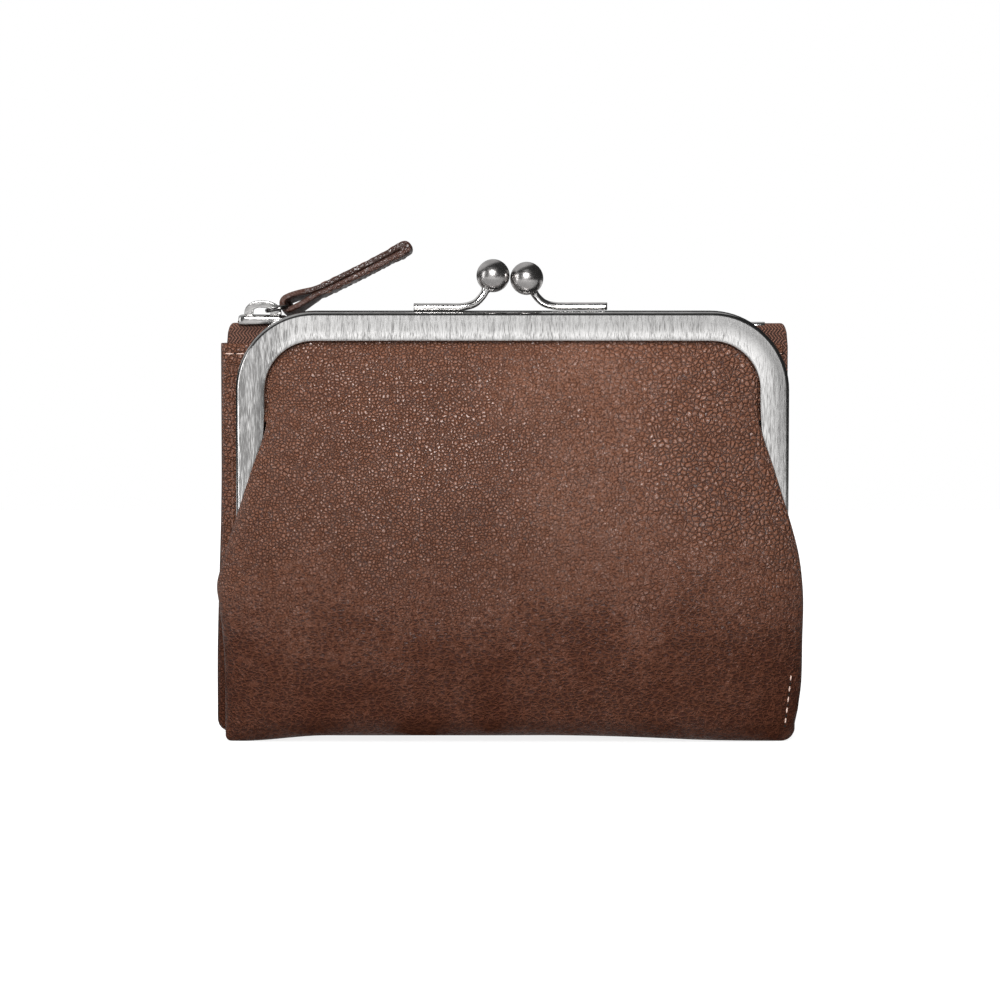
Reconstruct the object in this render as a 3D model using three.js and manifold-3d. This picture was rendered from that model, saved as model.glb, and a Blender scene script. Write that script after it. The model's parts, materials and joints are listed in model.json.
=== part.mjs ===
// A clasp-frame coin purse with a zip pocket on its back, in millimetres, +Z up.
// The front faces -Y, the pull tab of the zip is at the left (-X), and the origin is the
// middle of the flat base. The clasp frame's two halves turn on a pair of rivets.
import * as THREE from "three";
import { mergeVertices } from "three/addons/utils/BufferGeometryUtils.js";
import Module from "manifold-3d";

const wasm = await Module();
wasm.setup();

// ---------------------------------------------------------------- driving dimensions
const FRAME = {
  halfWidth: 60, top: 93, cornerRadius: 17, bandDepth: 6.4, flangeDepth: 5.4,
  sheet: 0.8, depth: 4.0, halfGap: 0.15, footHeight: 40,
};
const HINGE = {
  height: 36, earRadius: 3, holeRadius: 1.1, shankRadius: 1.0, headRadius: 1.9,
  headThickness: 0.7, sideGap: 0.3, jogLow: 42, jogHigh: 46,
};
const CORD = { thickness: 0.6, width: 2.0, inset: 1.2, fromFlange: 0.15, footHeight: 47 };
const CLASP = {
  ballRadius: 3.5, barRadius: 0.85, standOff: 0.15,
  frontBall: new THREE.Vector3(-4.2, -0.2, 100.7),
  rearBall: new THREE.Vector3(3.1, 0.2, 100.1),
};
const LEATHER = 1.1;
const LINING = { thickness: 0.5, gap: 0.15 };
const POUCH = {
  halfWidth: 61.5, front: -14.9, back: 3.0, floorThickness: 1.2, cornerRadius: 8,
  frontWallTop: 30.4, liningTop: 29.5, sideHeight: 33, sideGap: 0.3, sideThickness: 1.2,
};
// The upper front panel runs round the hinge axis, so it clears the lower one as it opens.
const UPPER_PANEL = {
  radius: 12.6, lowAngle: -32, highAngle: 11, edge: -3.0, edgeHeight: 87, top: 91.5,
  halfWidth: 61.3, waistHeight: 42, legHeight: 48, legHalfWidth: 60, neckHeight: 69,
};
const REAR_PANEL = { top: 89, bottom: 1.5, archInset: 1.3, earClearX: 56.7, earClearLow: 32.4, earClearHigh: 39.6 };
const POCKET = {
  left: -64.0, right: 60.2, top: 85.6, front: 5.2, back: 11.2, wall: 1.2, cornerRadius: 3, seamGap: 0.3,
};
const ZIP = {
  left: -61.9, right: 58.7, tape: 0.45, bottom: 74, foldHeight: 88.3, foldRadius: 1.2,
  coilWidth: 1.1, coilHeight: 0.9, gap: 0.3, coilLift: 0.2,
};
const SLIDER = {
  left: -59.8, right: -49.6, halfWidth: 2.6, plate: 0.8, bottom: 89.1, plateLow: 91.0,
  bridgeLeft: -58.6, bridgeRight: -51.4, bridgeRise: 2.95, bridgeHalfWidth: 1.0,
  slotLeft: -56.7, slotRight: -52.9, slotRise: 1.45, slotRadius: 0.4, bridgeGap: 0.15,
};
const RING = {
  pivot: new THREE.Vector3(-53.7, 0, 92.7), holder: new THREE.Vector3(-48.3, 0, 94.0),
  halfWidth: 3.3, wire: 0.45,
};
const TAB = {
  angle: 26.3, length: 29.3, halfWidth: 2.2, eyeOffset: -0.35, eyeRadius: 1.05, loopRadius: 2.05,
  eyeEnd: 4.2, neck: 6.0, halfThickness: 1.25, tipRadius: 1.5,
};
const STOPS = { topLeft: -61.6, topLength: 1.2, endLeft: 51.5, endLength: 3.7, height: 0.5, lift: 0.25 };
const ZIP_CENTRE = (POCKET.front + POCKET.back) / 2;
const CURVE_STEPS = 8;

// ---------------------------------------------------------------- materials
const finish = (color, roughness, metalness) => new THREE.MeshStandardMaterial({ color, roughness, metalness });
const leather = finish(0x64423a, 0.55, 0);
const lining = finish(0x6d5340, 0.9, 0);
const tapeCloth = finish(0x58372b, 0.85, 0);
const paper = finish(0xa98c62, 0.9, 0);
const brushedMetal = finish(0xc9c7c4, 0.35, 1);
const darkMetal = finish(0x6a6663, 0.15, 1);

// ---------------------------------------------------------------- geometry helpers
const degrees = THREE.MathUtils.degToRad;

// A shape drawn in X and Z, from y = from to y = to.
function plateAcrossY(shape, from, to) {
  const geometry = new THREE.ExtrudeGeometry(shape, { depth: to - from, bevelEnabled: false, curveSegments: CURVE_STEPS });
  return geometry.rotateX(Math.PI / 2).translate(0, to, 0);
}

// A shape drawn in Y and Z, from x = from to x = to.
function plateAcrossX(shape, from, to) {
  const geometry = new THREE.ExtrudeGeometry(shape, { depth: to - from, bevelEnabled: false, curveSegments: CURVE_STEPS });
  const turn = new THREE.Matrix4().makeBasis(
    new THREE.Vector3(0, 1, 0), new THREE.Vector3(0, 0, 1), new THREE.Vector3(1, 0, 0));
  return geometry.applyMatrix4(turn).translate(from, 0, 0);
}

function block(x0, x1, y0, y1, z0, z1) {
  return new THREE.BoxGeometry(x1 - x0, y1 - y0, z1 - z0).translate((x0 + x1) / 2, (y0 + y1) / 2, (z0 + z1) / 2);
}

// A cylinder along X about the hinge axis.
function hingeDisc(radius, x0, x1) {
  const disc = new THREE.CylinderGeometry(radius, radius, x1 - x0, 24);
  return disc.rotateZ(Math.PI / 2).translate((x0 + x1) / 2, 0, HINGE.height);
}

function polygon(points) {
  return new THREE.Shape(points.map(([a, b]) => new THREE.Vector2(a, b)));
}

function toSolid(geometry) {
  const bare = geometry.clone();
  bare.deleteAttribute("normal");
  bare.deleteAttribute("uv");
  const merged = mergeVertices(bare, 1e-4);
  return new wasm.Manifold(new wasm.Mesh({
    numProp: 3,
    vertProperties: new Float32Array(merged.attributes.position.array),
    triVerts: new Uint32Array(merged.index.array),
  }));
}

function toGeometry(solid) {
  const mesh = solid.getMesh();
  const geometry = new THREE.BufferGeometry();
  geometry.setAttribute("position", new THREE.BufferAttribute(new Float32Array(mesh.vertProperties), 3));
  geometry.setIndex(new THREE.BufferAttribute(new Uint32Array(mesh.triVerts), 1));
  geometry.computeVertexNormals();
  return geometry;
}

const join = (...parts) => toGeometry(parts.map(toSolid).reduce((whole, part) => whole.add(part)));
const cut = (body, ...tools) => toGeometry(tools.map(toSolid).reduce((whole, tool) => whole.subtract(tool), toSolid(body)));
const common = (a, b) => toGeometry(toSolid(a).intersect(toSolid(b)));

function node(name, geometry, material) {
  const mesh = new THREE.Mesh(geometry, material);
  mesh.name = name;
  return mesh;
}

// Both sides of the object: the name ending and the sign of x.
const SIDES = [["left", -1], ["right", 1]];
// Both halves of the frame: the name ending and the sign of y.
const HALVES = [["front", -1], ["rear", 1]];

// Mirrors a span across zero when the sign is negative, lowest value first.
const span = (sign, near, far) => (sign > 0 ? [near, far] : [-far, -near]);

// ---------------------------------------------------------------- clasp frame
// An arch-shaped band between two insets from the frame's outer outline.
function archBand(outerInset, innerInset, foot) {
  const shape = new THREE.Shape();
  const centreX = FRAME.halfWidth - FRAME.cornerRadius;
  const centreZ = FRAME.top - FRAME.cornerRadius;
  const outer = FRAME.halfWidth - outerInset;
  const inner = FRAME.halfWidth - innerInset;
  shape.moveTo(-outer, foot);
  shape.lineTo(-outer, centreZ);
  shape.absarc(-centreX, centreZ, FRAME.cornerRadius - outerInset, Math.PI, Math.PI / 2, true);
  shape.absarc(centreX, centreZ, FRAME.cornerRadius - outerInset, Math.PI / 2, 0, true);
  shape.lineTo(outer, foot);
  shape.lineTo(inner, foot);
  shape.absarc(centreX, centreZ, FRAME.cornerRadius - innerInset, 0, Math.PI / 2, false);
  shape.absarc(-centreX, centreZ, FRAME.cornerRadius - innerInset, Math.PI / 2, Math.PI, false);
  shape.lineTo(-inner, foot);
  shape.closePath();
  return shape;
}

// One channel-section half: a wide face, a rim and a narrower inner flange.
function frameChannel(sign) {
  const face = span(sign, FRAME.depth - FRAME.sheet, FRAME.depth);
  const rim = span(sign, FRAME.halfGap, FRAME.depth);
  const flange = span(sign, FRAME.halfGap, FRAME.halfGap + FRAME.sheet);
  return [
    plateAcrossY(archBand(0, FRAME.bandDepth, FRAME.footHeight), ...face),
    plateAcrossY(archBand(0, FRAME.sheet, FRAME.footHeight), ...rim),
    plateAcrossY(archBand(0, FRAME.flangeDepth, FRAME.footHeight), ...flange),
  ];
}

// The rear ears lie in line with the rims.
function rearEars(side) {
  const ear = span(side, FRAME.halfWidth - FRAME.sheet, FRAME.halfWidth);
  return [
    hingeDisc(HINGE.earRadius, ...ear),
    block(...ear, FRAME.halfGap, HINGE.earRadius, HINGE.height, FRAME.footHeight + 1),
  ];
}

// The front ears are set inwards by a jog, so that they lie inside the rear ones.
function frontEars(side) {
  const inner = FRAME.halfWidth - 2 * FRAME.sheet - HINGE.sideGap;
  const ear = span(side, inner, inner + FRAME.sheet);
  const jog = span(side, inner, FRAME.halfWidth);
  return [
    hingeDisc(HINGE.earRadius, ...ear),
    block(...ear, -HINGE.earRadius, -FRAME.halfGap, HINGE.height, HINGE.jogHigh),
    block(...jog, -FRAME.depth, -FRAME.halfGap, HINGE.jogLow, HINGE.jogHigh),
  ];
}

function frameHalf(sign) {
  const ears = sign < 0 ? frontEars : rearEars;
  const body = join(...frameChannel(sign), ...ears(-1), ...ears(1));
  return cut(body, hingeDisc(HINGE.holeRadius, -FRAME.halfWidth - 1, FRAME.halfWidth + 1));
}

// A twisted paper cord wedged into the channel, holding the leather's edge.
function paperCord(sign) {
  const near = FRAME.halfGap + FRAME.sheet + CORD.fromFlange;
  return plateAcrossY(archBand(CORD.inset, CORD.inset + CORD.width, CORD.footHeight), ...span(sign, near, near + CORD.thickness));
}

function hingeRivet(side) {
  const innerEar = FRAME.halfWidth - 2 * FRAME.sheet - HINGE.sideGap;
  const innerHead = innerEar - HINGE.sideGap - HINGE.headThickness;
  const outerHead = FRAME.halfWidth + HINGE.sideGap;
  return join(
    hingeDisc(HINGE.shankRadius, ...span(side, innerHead, outerHead + HINGE.headThickness)),
    hingeDisc(HINGE.headRadius, ...span(side, innerHead, innerHead + HINGE.headThickness)),
    hingeDisc(HINGE.headRadius, ...span(side, outerHead, outerHead + HINGE.headThickness)));
}

// ---------------------------------------------------------------- ball clasp
function claspBall(centre) {
  return new THREE.SphereGeometry(CLASP.ballRadius, 24, 14).rotateX(Math.PI / 2).translate(centre.x, centre.y, centre.z);
}

// A round bar that lies along the frame's top and then bends up to its ball.
function claspArm(ball, outerX, bendX, sign) {
  const y = sign * FRAME.depth / 2;
  const z = FRAME.top + CLASP.standOff + CLASP.barRadius;
  const end = new THREE.Vector3(bendX, 2 * y, z).sub(ball).setLength(CLASP.ballRadius + 2 * CLASP.standOff).add(ball);
  const path = new THREE.CatmullRomCurve3([
    new THREE.Vector3(outerX, y, z),
    new THREE.Vector3((2 * outerX + bendX) / 3, y, z),
    new THREE.Vector3((outerX + 2 * bendX) / 3, y, z),
    new THREE.Vector3(bendX, y, z + 0.1),
    new THREE.Vector3((bendX + end.x) / 2, (y + end.y) / 2, z + 0.35 * (end.z - z)),
    end,
  ]);
  const section = new THREE.Shape().absarc(0, 0, CLASP.barRadius, 0, 2 * Math.PI, false);
  return new THREE.ExtrudeGeometry(section, { steps: 16, curveSegments: 10, extrudePath: path });
}

// ---------------------------------------------------------------- pouch
// Points on an arc round the hinge axis; angle 0 faces the front and 90 faces up.
function hingeArc(radius, fromAngle, toAngle) {
  const points = [];
  for (let step = 0; step <= CURVE_STEPS; step += 1) {
    const angle = degrees(fromAngle + (toAngle - fromAngle) * step / CURVE_STEPS);
    points.push([-radius * Math.cos(angle), HINGE.height + radius * Math.sin(angle)]);
  }
  return points;
}

// The upper panel's section: round the hinge axis, then straight up into the frame's channel.
function upperSection(inset, thickness, top) {
  const outer = hingeArc(UPPER_PANEL.radius - inset, UPPER_PANEL.lowAngle, UPPER_PANEL.highAngle);
  const inner = hingeArc(UPPER_PANEL.radius - inset - thickness, UPPER_PANEL.highAngle, UPPER_PANEL.lowAngle);
  const edge = UPPER_PANEL.edge + inset;
  const shoulder = Math.min(UPPER_PANEL.edgeHeight, top);
  if (top > shoulder) {
    return polygon([...outer, [edge, shoulder], [edge, top], [edge + thickness, top], [edge + thickness, shoulder], ...inner]);
  }
  return polygon([...outer, [edge, shoulder], [edge + thickness, shoulder], ...inner]);
}

// The upper panel's outline from the front: wide over the hinge, slanting in across the legs.
function upperOutline() {
  const throat = FRAME.halfWidth - FRAME.bandDepth - 0.6;
  const centreX = FRAME.halfWidth - FRAME.cornerRadius;
  const centreZ = FRAME.top - FRAME.cornerRadius;
  const shape = new THREE.Shape();
  shape.moveTo(-UPPER_PANEL.halfWidth, 0);
  shape.lineTo(-UPPER_PANEL.halfWidth, UPPER_PANEL.waistHeight);
  shape.lineTo(-UPPER_PANEL.legHalfWidth, UPPER_PANEL.legHeight);
  shape.lineTo(-throat, UPPER_PANEL.neckHeight);
  shape.absarc(-centreX, centreZ, throat - centreX, Math.PI, Math.PI / 2, true);
  shape.lineTo(-centreX, FRAME.top);
  shape.lineTo(centreX, FRAME.top);
  shape.absarc(centreX, centreZ, throat - centreX, Math.PI / 2, 0, true);
  shape.lineTo(throat, UPPER_PANEL.neckHeight);
  shape.lineTo(UPPER_PANEL.legHalfWidth, UPPER_PANEL.legHeight);
  shape.lineTo(UPPER_PANEL.halfWidth, UPPER_PANEL.waistHeight);
  shape.lineTo(UPPER_PANEL.halfWidth, 0);
  shape.closePath();
  return shape;
}

function frontPanelUpper() {
  const sheet = plateAcrossX(upperSection(0, LEATHER, UPPER_PANEL.top), -POUCH.halfWidth, POUCH.halfWidth);
  return common(sheet, plateAcrossY(upperOutline(), POUCH.front, 0));
}

// The lower section: a front wall, a round bottom corner and a flat floor.
function lowerSection(inset, thickness, wallTop) {
  const front = POUCH.front + inset;
  const centreY = POUCH.front + POUCH.cornerRadius;
  const outerRadius = POUCH.cornerRadius - inset;
  const shape = new THREE.Shape();
  shape.moveTo(front, wallTop);
  shape.lineTo(front, POUCH.cornerRadius);
  shape.absarc(centreY, POUCH.cornerRadius, outerRadius, Math.PI, 1.5 * Math.PI, false);
  shape.lineTo(POUCH.back - inset, inset);
  shape.lineTo(POUCH.back - inset, inset + thickness);
  shape.absarc(centreY, POUCH.cornerRadius, outerRadius - thickness, 1.5 * Math.PI, Math.PI, true);
  shape.lineTo(front + thickness, wallTop);
  shape.closePath();
  return shape;
}

// The side wall's outline, which follows the front panel's bottom corner.
function sideWall(side) {
  const centreY = POUCH.front + POUCH.cornerRadius;
  const shape = new THREE.Shape();
  shape.moveTo(POUCH.front, POUCH.sideHeight);
  shape.lineTo(POUCH.front, POUCH.cornerRadius);
  shape.absarc(centreY, POUCH.cornerRadius, POUCH.cornerRadius, Math.PI, 1.5 * Math.PI, false);
  shape.lineTo(POUCH.back, 0);
  shape.lineTo(POUCH.back, POUCH.sideHeight);
  shape.closePath();
  const inner = POUCH.halfWidth + POUCH.sideGap;
  return plateAcrossX(shape, ...span(side, inner, inner + POUCH.sideThickness));
}

function rearPanel() {
  const back = POUCH.back;
  const front = back - LEATHER;
  const arch = polygonArch(REAR_PANEL.archInset, REAR_PANEL.bottom, REAR_PANEL.top);
  const skirt = block(-POUCH.halfWidth, POUCH.halfWidth, front, back, REAR_PANEL.bottom, REAR_PANEL.earClearLow);
  const body = join(plateAcrossY(arch, front, back), skirt);
  const clearings = SIDES.map(([, side]) => block(
    ...span(side, REAR_PANEL.earClearX, POUCH.halfWidth + 1),
    front - 1, back + 1, REAR_PANEL.earClearLow, REAR_PANEL.earClearHigh));
  return cut(body, ...clearings);
}

// The arch's filled outline at an inset, cut off level at the top height.
function polygonArch(inset, foot, top) {
  const centreX = FRAME.halfWidth - FRAME.cornerRadius;
  const centreZ = FRAME.top - FRAME.cornerRadius;
  const radius = FRAME.cornerRadius - inset;
  const cutAngle = Math.asin(Math.min(1, (top - centreZ) / radius));
  const shape = new THREE.Shape();
  shape.moveTo(-centreX - radius, foot);
  shape.lineTo(-centreX - radius, centreZ);
  shape.absarc(-centreX, centreZ, radius, Math.PI, Math.PI - cutAngle, true);
  shape.absarc(centreX, centreZ, radius, cutAngle, 0, true);
  shape.lineTo(centreX + radius, foot);
  shape.closePath();
  return shape;
}

function liningRear() {
  const back = POUCH.back - LEATHER - LINING.gap;
  const low = POUCH.floorThickness + LINING.gap + 2 * LINING.thickness;
  const arch = polygonArch(FRAME.flangeDepth + 0.6, low, FRAME.top - FRAME.flangeDepth - 0.9);
  return plateAcrossY(arch, back - LINING.thickness, back);
}

function liningLower() {
  const inset = POUCH.floorThickness + LINING.gap;
  const sheet = plateAcrossX(
    lowerSection(inset, LINING.thickness, POUCH.liningTop), -POUCH.halfWidth + 0.3, POUCH.halfWidth - 0.3);
  return sheet;
}

function liningFront() {
  const inset = LEATHER + LINING.gap;
  const halfWidth = FRAME.halfWidth - FRAME.bandDepth - 1.1;
  const sheet = plateAcrossX(upperSection(inset, LINING.thickness, UPPER_PANEL.edgeHeight - 0.6), -halfWidth, halfWidth);
  const inside = polygonArch(FRAME.bandDepth + 1.1, 0, FRAME.top - FRAME.bandDepth - 0.4);
  return common(sheet, plateAcrossY(inside, POUCH.front, 0));
}

// ---------------------------------------------------------------- zip pocket
// The pocket's outline from the front, with rounded bottom corners.
function pocketOutline(inset, top) {
  const left = POCKET.left + inset;
  const right = POCKET.right - inset;
  const radius = POCKET.cornerRadius - inset;
  const shape = new THREE.Shape();
  shape.moveTo(left, top);
  shape.lineTo(left, inset + radius);
  shape.absarc(left + radius, inset + radius, radius, Math.PI, 1.5 * Math.PI, false);
  shape.absarc(right - radius, inset + radius, radius, 1.5 * Math.PI, 2 * Math.PI, false);
  shape.lineTo(right, top);
  shape.closePath();
  return shape;
}

// One wall, with its turned edge along the bottom and both sides.
function pocketWall(sign) {
  const outer = sign < 0 ? [POCKET.front, ZIP_CENTRE - POCKET.seamGap / 2] : [ZIP_CENTRE + POCKET.seamGap / 2, POCKET.back];
  const hollow = [POCKET.front + POCKET.wall, POCKET.back - POCKET.wall];
  return cut(
    plateAcrossY(pocketOutline(0, POCKET.top), ...outer),
    plateAcrossY(pocketOutline(POCKET.wall, POCKET.top + 1), ...hollow));
}

// One tape: it rises inside the wall and folds over to the middle.
function zipTape(sign) {
  const outside = POCKET.front + POCKET.wall + 0.15;
  const centre = outside + ZIP.foldRadius;
  const middle = ZIP_CENTRE - ZIP.gap / 2;
  const shape = new THREE.Shape();
  shape.moveTo(outside, ZIP.bottom);
  shape.lineTo(outside, ZIP.foldHeight);
  shape.absarc(centre, ZIP.foldHeight, ZIP.foldRadius, Math.PI, Math.PI / 2, true);
  shape.lineTo(middle, ZIP.foldHeight + ZIP.foldRadius);
  shape.lineTo(middle, ZIP.foldHeight + ZIP.foldRadius - ZIP.tape);
  shape.absarc(centre, ZIP.foldHeight, ZIP.foldRadius - ZIP.tape, Math.PI / 2, Math.PI, false);
  shape.lineTo(outside + ZIP.tape, ZIP.bottom);
  shape.closePath();
  const front = plateAcrossX(shape, ZIP.left, ZIP.right);
  return sign < 0 ? front : turnedAboutZipCentre(front, (ZIP.left + ZIP.right) / 2);
}

// A half turn about a vertical line through the zip's centre plane.
function turnedAboutZipCentre(geometry, x) {
  return geometry.translate(-x, -ZIP_CENTRE, 0).rotateZ(Math.PI).translate(x, ZIP_CENTRE, 0);
}

function zipCoil(sign) {
  const low = ZIP.foldHeight + ZIP.foldRadius + ZIP.coilLift;
  const [near, far] = span(sign, ZIP.gap / 2, ZIP.gap / 2 + ZIP.coilWidth);
  const right = STOPS.endLeft - 0.3;
  const left = STOPS.topLeft + STOPS.topLength + 0.3;
  return block(left, right, ZIP_CENTRE + near, ZIP_CENTRE + far, low, low + ZIP.coilHeight);
}

// A metal stop clamped across the tapes; it bridges both of them.
function zipStop(left, length) {
  const low = ZIP.foldHeight + ZIP.foldRadius + STOPS.lift;
  return block(left, left + length, ZIP_CENTRE - ZIP.coilWidth, ZIP_CENTRE + ZIP.coilWidth, low, low + STOPS.height);
}

// The slider straddles both tapes: a top plate with a flange down each side.
function sliderBody() {
  const top = SLIDER.plateLow + SLIDER.plate;
  const shape = polygon([
    [ZIP_CENTRE - SLIDER.halfWidth, SLIDER.bottom], [ZIP_CENTRE - SLIDER.halfWidth + 0.6, SLIDER.bottom],
    [ZIP_CENTRE - SLIDER.halfWidth + 0.6, SLIDER.plateLow], [ZIP_CENTRE + SLIDER.halfWidth - 0.6, SLIDER.plateLow],
    [ZIP_CENTRE + SLIDER.halfWidth - 0.6, SLIDER.bottom], [ZIP_CENTRE + SLIDER.halfWidth, SLIDER.bottom],
    [ZIP_CENTRE + SLIDER.halfWidth, top - 0.3], [ZIP_CENTRE + SLIDER.halfWidth - 0.3, top],
    [ZIP_CENTRE - SLIDER.halfWidth + 0.3, top], [ZIP_CENTRE - SLIDER.halfWidth, top - 0.3],
  ]);
  return plateAcrossX(shape, SLIDER.left, SLIDER.right);
}

// The bridge on the slider that holds the ring.
function sliderBridge() {
  const low = SLIDER.plateLow + SLIDER.plate + SLIDER.bridgeGap;
  const halfLength = (SLIDER.bridgeRight - SLIDER.bridgeLeft) / 2;
  const centre = SLIDER.bridgeLeft + halfLength;
  const shape = new THREE.Shape();
  shape.absellipse(centre, low, halfLength, SLIDER.bridgeRise, 0, Math.PI, false);
  shape.lineTo(SLIDER.slotLeft, low);
  shape.lineTo(SLIDER.slotLeft, low + SLIDER.slotRise - SLIDER.slotRadius);
  shape.lineTo(SLIDER.slotLeft + SLIDER.slotRadius, low + SLIDER.slotRise);
  shape.lineTo(SLIDER.slotRight - SLIDER.slotRadius, low + SLIDER.slotRise);
  shape.lineTo(SLIDER.slotRight, low + SLIDER.slotRise - SLIDER.slotRadius);
  shape.lineTo(SLIDER.slotRight, low);
  shape.closePath();
  return plateAcrossY(shape, ZIP_CENTRE - SLIDER.bridgeHalfWidth, ZIP_CENTRE + SLIDER.bridgeHalfWidth);
}

// An oval wire ring from the bridge to the tab's eye.
function pullRing() {
  const along = new THREE.Vector3().subVectors(RING.holder, RING.pivot);
  const halfLength = along.length() / 2;
  const ring = new THREE.TorusGeometry(RING.halfWidth, RING.wire, 8, 32).scale(halfLength / RING.halfWidth, 1, 1);
  const middle = new THREE.Vector3().addVectors(RING.holder, RING.pivot).multiplyScalar(0.5);
  return ring.rotateY(-Math.atan2(along.z, along.x)).translate(middle.x, ZIP_CENTRE, middle.z);
}

// A folded leather strip with a loop at one end, drawn along its own length.
function pullTab() {
  const tip = TAB.length - TAB.tipRadius;
  const outline = new THREE.Shape();
  outline.absarc(TAB.eyeOffset, 0, TAB.loopRadius, 0.45 * Math.PI, 1.55 * Math.PI, false);
  outline.lineTo(TAB.neck, -TAB.halfThickness);
  outline.lineTo(tip - 2, -TAB.halfThickness);
  outline.absarc(tip, 0, TAB.tipRadius, -Math.PI / 2, Math.PI / 2, false);
  outline.lineTo(tip - 2, TAB.halfThickness);
  outline.lineTo(TAB.neck, TAB.halfThickness);
  outline.closePath();
  const eye = new THREE.Path();
  eye.absarc(TAB.eyeOffset, 0, TAB.eyeRadius, 0.45 * Math.PI, 1.55 * Math.PI, false);
  eye.lineTo(TAB.eyeEnd, -0.2);
  eye.lineTo(TAB.eyeEnd, 0.2);
  eye.closePath();
  outline.holes.push(eye);
  const strip = plateAcrossY(outline, -TAB.halfWidth, TAB.halfWidth);
  return strip.rotateY(-degrees(TAB.angle)).translate(RING.holder.x, ZIP_CENTRE, RING.holder.z);
}

// ---------------------------------------------------------------- assembly
const purse = new THREE.Group();

for (const [half, sign] of HALVES) {
  purse.add(node(`frame_${half}`, frameHalf(sign), brushedMetal));
  purse.add(node(`paper_cord_${half}`, paperCord(sign), paper));
}
purse.add(node("clasp_ball_front", claspBall(CLASP.frontBall), darkMetal));
purse.add(node("clasp_ball_rear", claspBall(CLASP.rearBall), darkMetal));
purse.add(node("clasp_arm_front", claspArm(CLASP.frontBall, -21.4, -10.1, -1), darkMetal));
purse.add(node("clasp_arm_rear", claspArm(CLASP.rearBall, 20.6, 8.5, 1), darkMetal));

for (const [side, sign] of SIDES) {
  purse.add(node(`hinge_rivet_${side}`, hingeRivet(sign), darkMetal));
  purse.add(node(`gusset_${side}`, sideWall(sign), leather));
}
purse.add(node("front_panel_upper", frontPanelUpper(), leather));
purse.add(node("front_panel_lower", plateAcrossX(
  lowerSection(0, POUCH.floorThickness, POUCH.frontWallTop), -POUCH.halfWidth, POUCH.halfWidth), leather));
purse.add(node("rear_panel", rearPanel(), leather));
purse.add(node("lining_front", liningFront(), lining));
purse.add(node("lining_lower", liningLower(), lining));
purse.add(node("lining_rear", liningRear(), lining));

for (const [half, sign] of HALVES) {
  purse.add(node(`zip_pocket_${half}_wall`, pocketWall(sign), leather));
  purse.add(node(`zip_tape_${half}`, zipTape(sign), tapeCloth));
  purse.add(node(`zip_coil_${half}`, zipCoil(sign), tapeCloth));
}
purse.add(node("zip_top_stop", zipStop(STOPS.topLeft, STOPS.topLength), brushedMetal));
purse.add(node("zip_end_stop", zipStop(STOPS.endLeft, STOPS.endLength), brushedMetal));
purse.add(node("slider_body", sliderBody(), brushedMetal));
purse.add(node("slider_bridge", sliderBridge(), brushedMetal));
purse.add(node("pull_ring", pullRing(), darkMetal));
purse.add(node("pull_tab", pullTab(), leather));

export default purse;
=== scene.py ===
"""A clasp-frame coin purse with a zip pocket on its back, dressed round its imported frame.

Sizes are in metres in the purse's own frame: +X to the right of the front, +Y towards the
zip pocket, +Z up, with the origin in the middle of the base.
"""

import json
import logging
import math
from dataclasses import dataclass
from enum import Enum
from typing import Callable, Dict, List, Optional, Sequence, Tuple

import bmesh
import bpy
from mathutils import Matrix, Vector, noise

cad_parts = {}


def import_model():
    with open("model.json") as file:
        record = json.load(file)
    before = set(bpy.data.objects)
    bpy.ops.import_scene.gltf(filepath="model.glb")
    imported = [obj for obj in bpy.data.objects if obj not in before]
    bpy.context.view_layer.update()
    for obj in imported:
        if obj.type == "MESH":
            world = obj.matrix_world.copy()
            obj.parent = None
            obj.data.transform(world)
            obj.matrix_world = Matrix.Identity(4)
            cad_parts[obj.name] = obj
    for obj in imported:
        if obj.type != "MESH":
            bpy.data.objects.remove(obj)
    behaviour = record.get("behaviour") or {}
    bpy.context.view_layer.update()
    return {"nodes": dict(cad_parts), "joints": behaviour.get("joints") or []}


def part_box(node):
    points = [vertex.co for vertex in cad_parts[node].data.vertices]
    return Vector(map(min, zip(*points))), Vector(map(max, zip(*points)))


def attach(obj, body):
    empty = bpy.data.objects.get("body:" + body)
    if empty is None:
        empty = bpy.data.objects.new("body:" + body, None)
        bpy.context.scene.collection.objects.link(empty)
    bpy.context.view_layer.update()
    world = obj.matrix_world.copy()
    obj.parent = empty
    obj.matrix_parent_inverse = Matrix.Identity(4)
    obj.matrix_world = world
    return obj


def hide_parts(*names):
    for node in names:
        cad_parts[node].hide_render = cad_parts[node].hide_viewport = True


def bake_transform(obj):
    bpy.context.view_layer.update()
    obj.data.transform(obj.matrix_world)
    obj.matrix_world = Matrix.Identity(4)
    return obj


LOG = logging.getLogger("coin_purse")
MM = 0.001
BODY = "purse_body"
FRONT = "front_frame"
Point = Tuple[float, float, float]
Colour = Tuple[float, float, float, float]
Piece = bpy.types.Object
Material = bpy.types.Material
Socket = bpy.types.NodeSocket
Mesh = bmesh.types.BMesh
Corner = bmesh.types.BMVert
Edge = bmesh.types.BMEdge
Knots = Sequence[Tuple[float, float]]


class Side(Enum):
    """The two ends of the purse, seen from the front."""

    LEFT = -1
    RIGHT = 1


class Half(Enum):
    """The two halves of the clasp frame and of the zip."""

    FRONT = -1
    REAR = 1


# ---------------------------------------------------------------- small mathematics
def smooth(value: float, low: float, high: float) -> float:
    """Ease from 0 at low to 1 at high.

    Args:
        value: the number to ease.
        low: where the result is 0.
        high: where the result is 1.

    Returns:
        The eased share, from 0 to 1.
    """
    t = min(1.0, max(0.0, (value - low) / (high - low)))
    return t * t * (3.0 - 2.0 * t)


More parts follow.
